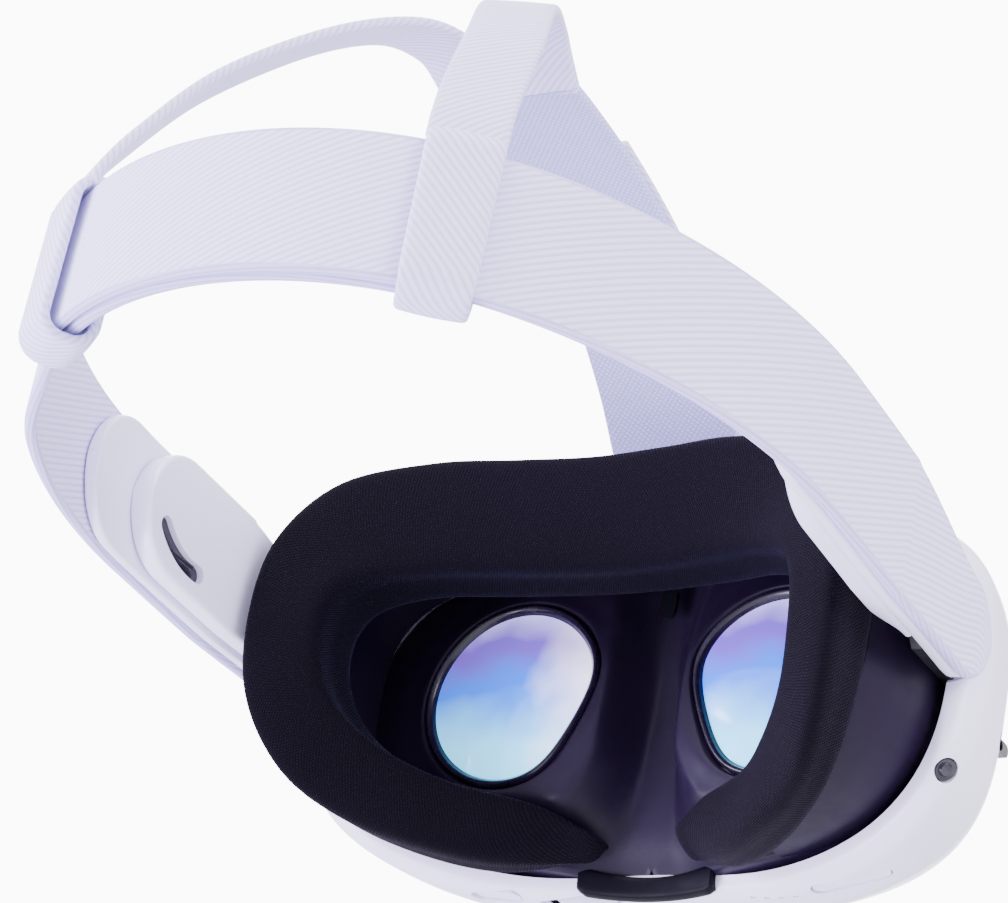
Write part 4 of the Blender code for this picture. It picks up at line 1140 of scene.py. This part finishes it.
def area_light(name, place, aim, size, power_w, colour):
    data = bpy.data.lights.new(name, "AREA")
    data.shape = "DISK"
    data.size = size
    data.energy = power_w
    data.color = colour
    item = bpy.data.objects.new(name, data)
    item.location = place
    item.rotation_euler = (Vector(aim) - Vector(place)).to_track_quat("-Z", "Y").to_euler()
    bpy.context.scene.collection.objects.link(item)


OBJECT_MIDDLE = (0, 0, 0.05)
FLOOR_REACH = 14.0
FLOOR_HEIGHT = -0.62


def make_world():
    backdrop = bpy.data.worlds.new("pale_room")
    backdrop.use_nodes = True
    background = backdrop.node_tree.nodes["Background"]
    background.inputs["Color"].default_value = (0.96, 0.95, 1.0, 1)
    background.inputs["Strength"].default_value = 2.1
    bpy.context.scene.world = backdrop


def make_floor():
    mesh = bpy.data.meshes.new("floor")
    corners = [(FLOOR_REACH * a, FLOOR_REACH * b, FLOOR_HEIGHT)
               for a, b in ((-1, -1), (1, -1), (1, 1), (-1, 1))]
    mesh.from_pydata(corners, [], [(0, 1, 2, 3)])
    n = Nodes("floor_paper")
    n.set(Base_Color=(0.62, 0.62, 0.66, 1), Roughness=0.9)
    n.bump(n.noise(n.place(), 300.0), 0.1, 0.0002)
    mesh.materials.append(n.material)
    floor = bpy.data.objects.new("floor", mesh)
    bpy.context.scene.collection.objects.link(floor)


make_world()
make_floor()
area_light("key", (0.5, 0.9, 1.3), OBJECT_MIDDLE, 0.9, 40, (1.0, 0.97, 1.0))
area_light("side", (1.2, 0.9, 0.2), OBJECT_MIDDLE, 0.5, 26, (0.72, 0.66, 1.0))
area_light("right", (-1.3, 0.5, 0.35), (-0.05, 0, 0.05), 0.8, 24, (0.92, 0.90, 1.0))
area_light("below", (0.5, 0.5, -0.5), OBJECT_MIDDLE, 0.5, 16, (0.80, 0.74, 1.0))

CAMERA_AZIMUTH = math.radians(31.61)
CAMERA_DROP = math.radians(23.18)
CAMERA_ROLL = math.radians(10.44)
CAMERA_DISTANCE = 0.8682
CAMERA_SENSOR = 36.0
CAMERA_LENS = 133.3214
AIM_SIDEWAYS = -0.03128
AIM_UP = 0.05421
SCREEN_DISTANCE = 5.0
SCREEN_REACH = 1.7


def make_camera():
    """Behind and below the object, to the wearer's right."""
    to_camera = Vector((-math.sin(CAMERA_AZIMUTH) * math.cos(CAMERA_DROP),
                        math.cos(CAMERA_AZIMUTH) * math.cos(CAMERA_DROP), -math.sin(CAMERA_DROP)))
    right = Vector((-math.cos(CAMERA_AZIMUTH), -math.sin(CAMERA_AZIMUTH), 0))
    up = right.cross(-to_camera)
    rolled_right = math.cos(CAMERA_ROLL) * right + math.sin(CAMERA_ROLL) * up
    rolled_up = -math.sin(CAMERA_ROLL) * right + math.cos(CAMERA_ROLL) * up
    place = EYE + to_camera * CAMERA_DISTANCE
    aim = EYE + rolled_right * AIM_SIDEWAYS + rolled_up * AIM_UP
    forward = (aim - place).normalized()
    sideways = (rolled_right - forward * rolled_right.dot(forward)).normalized()
    upright = sideways.cross(forward)
    data = bpy.data.cameras.new("camera")
    data.sensor_width = CAMERA_SENSOR
    data.lens = CAMERA_LENS
    data.clip_start = 0.05
    data.clip_end = 20
    item = bpy.data.objects.new("camera", data)
    item.matrix_world = Matrix((sideways, upright, -forward)).transposed().to_4x4()
    item.location = place
    bpy.context.scene.collection.objects.link(item)
    bpy.context.scene.camera = item
    return aim, forward


def make_backdrop(aim, forward):
    """A lit white screen far beyond the object."""
    sideways = forward.cross(Vector((0, 0, 1))).normalized()
    upright = sideways.cross(forward)
    middle = aim + forward * SCREEN_DISTANCE
    corners = [middle + (sideways * a + upright * b) * SCREEN_REACH
               for a, b in ((-1, -1), (1, -1), (1, 1), (-1, 1))]
    mesh = bpy.data.meshes.new("screen")
    mesh.from_pydata(corners, [], [(0, 1, 2, 3)])
    screen = bpy.data.objects.new("screen", mesh)
    n = Nodes("screen_light")
    weave = n.noise(n.place(), 40.0)
    n.set(Base_Color=(0.9, 0.9, 0.9, 1), Roughness=0.9, Emission_Color=(1.0, 1.0, 1.0, 1),
          Emission_Strength=n.spread(weave, 0.3, 0.7, 9.0, 9.4))
    mesh.materials.append(n.material)
    bpy.context.scene.collection.objects.link(screen)


make_backdrop(*make_camera())
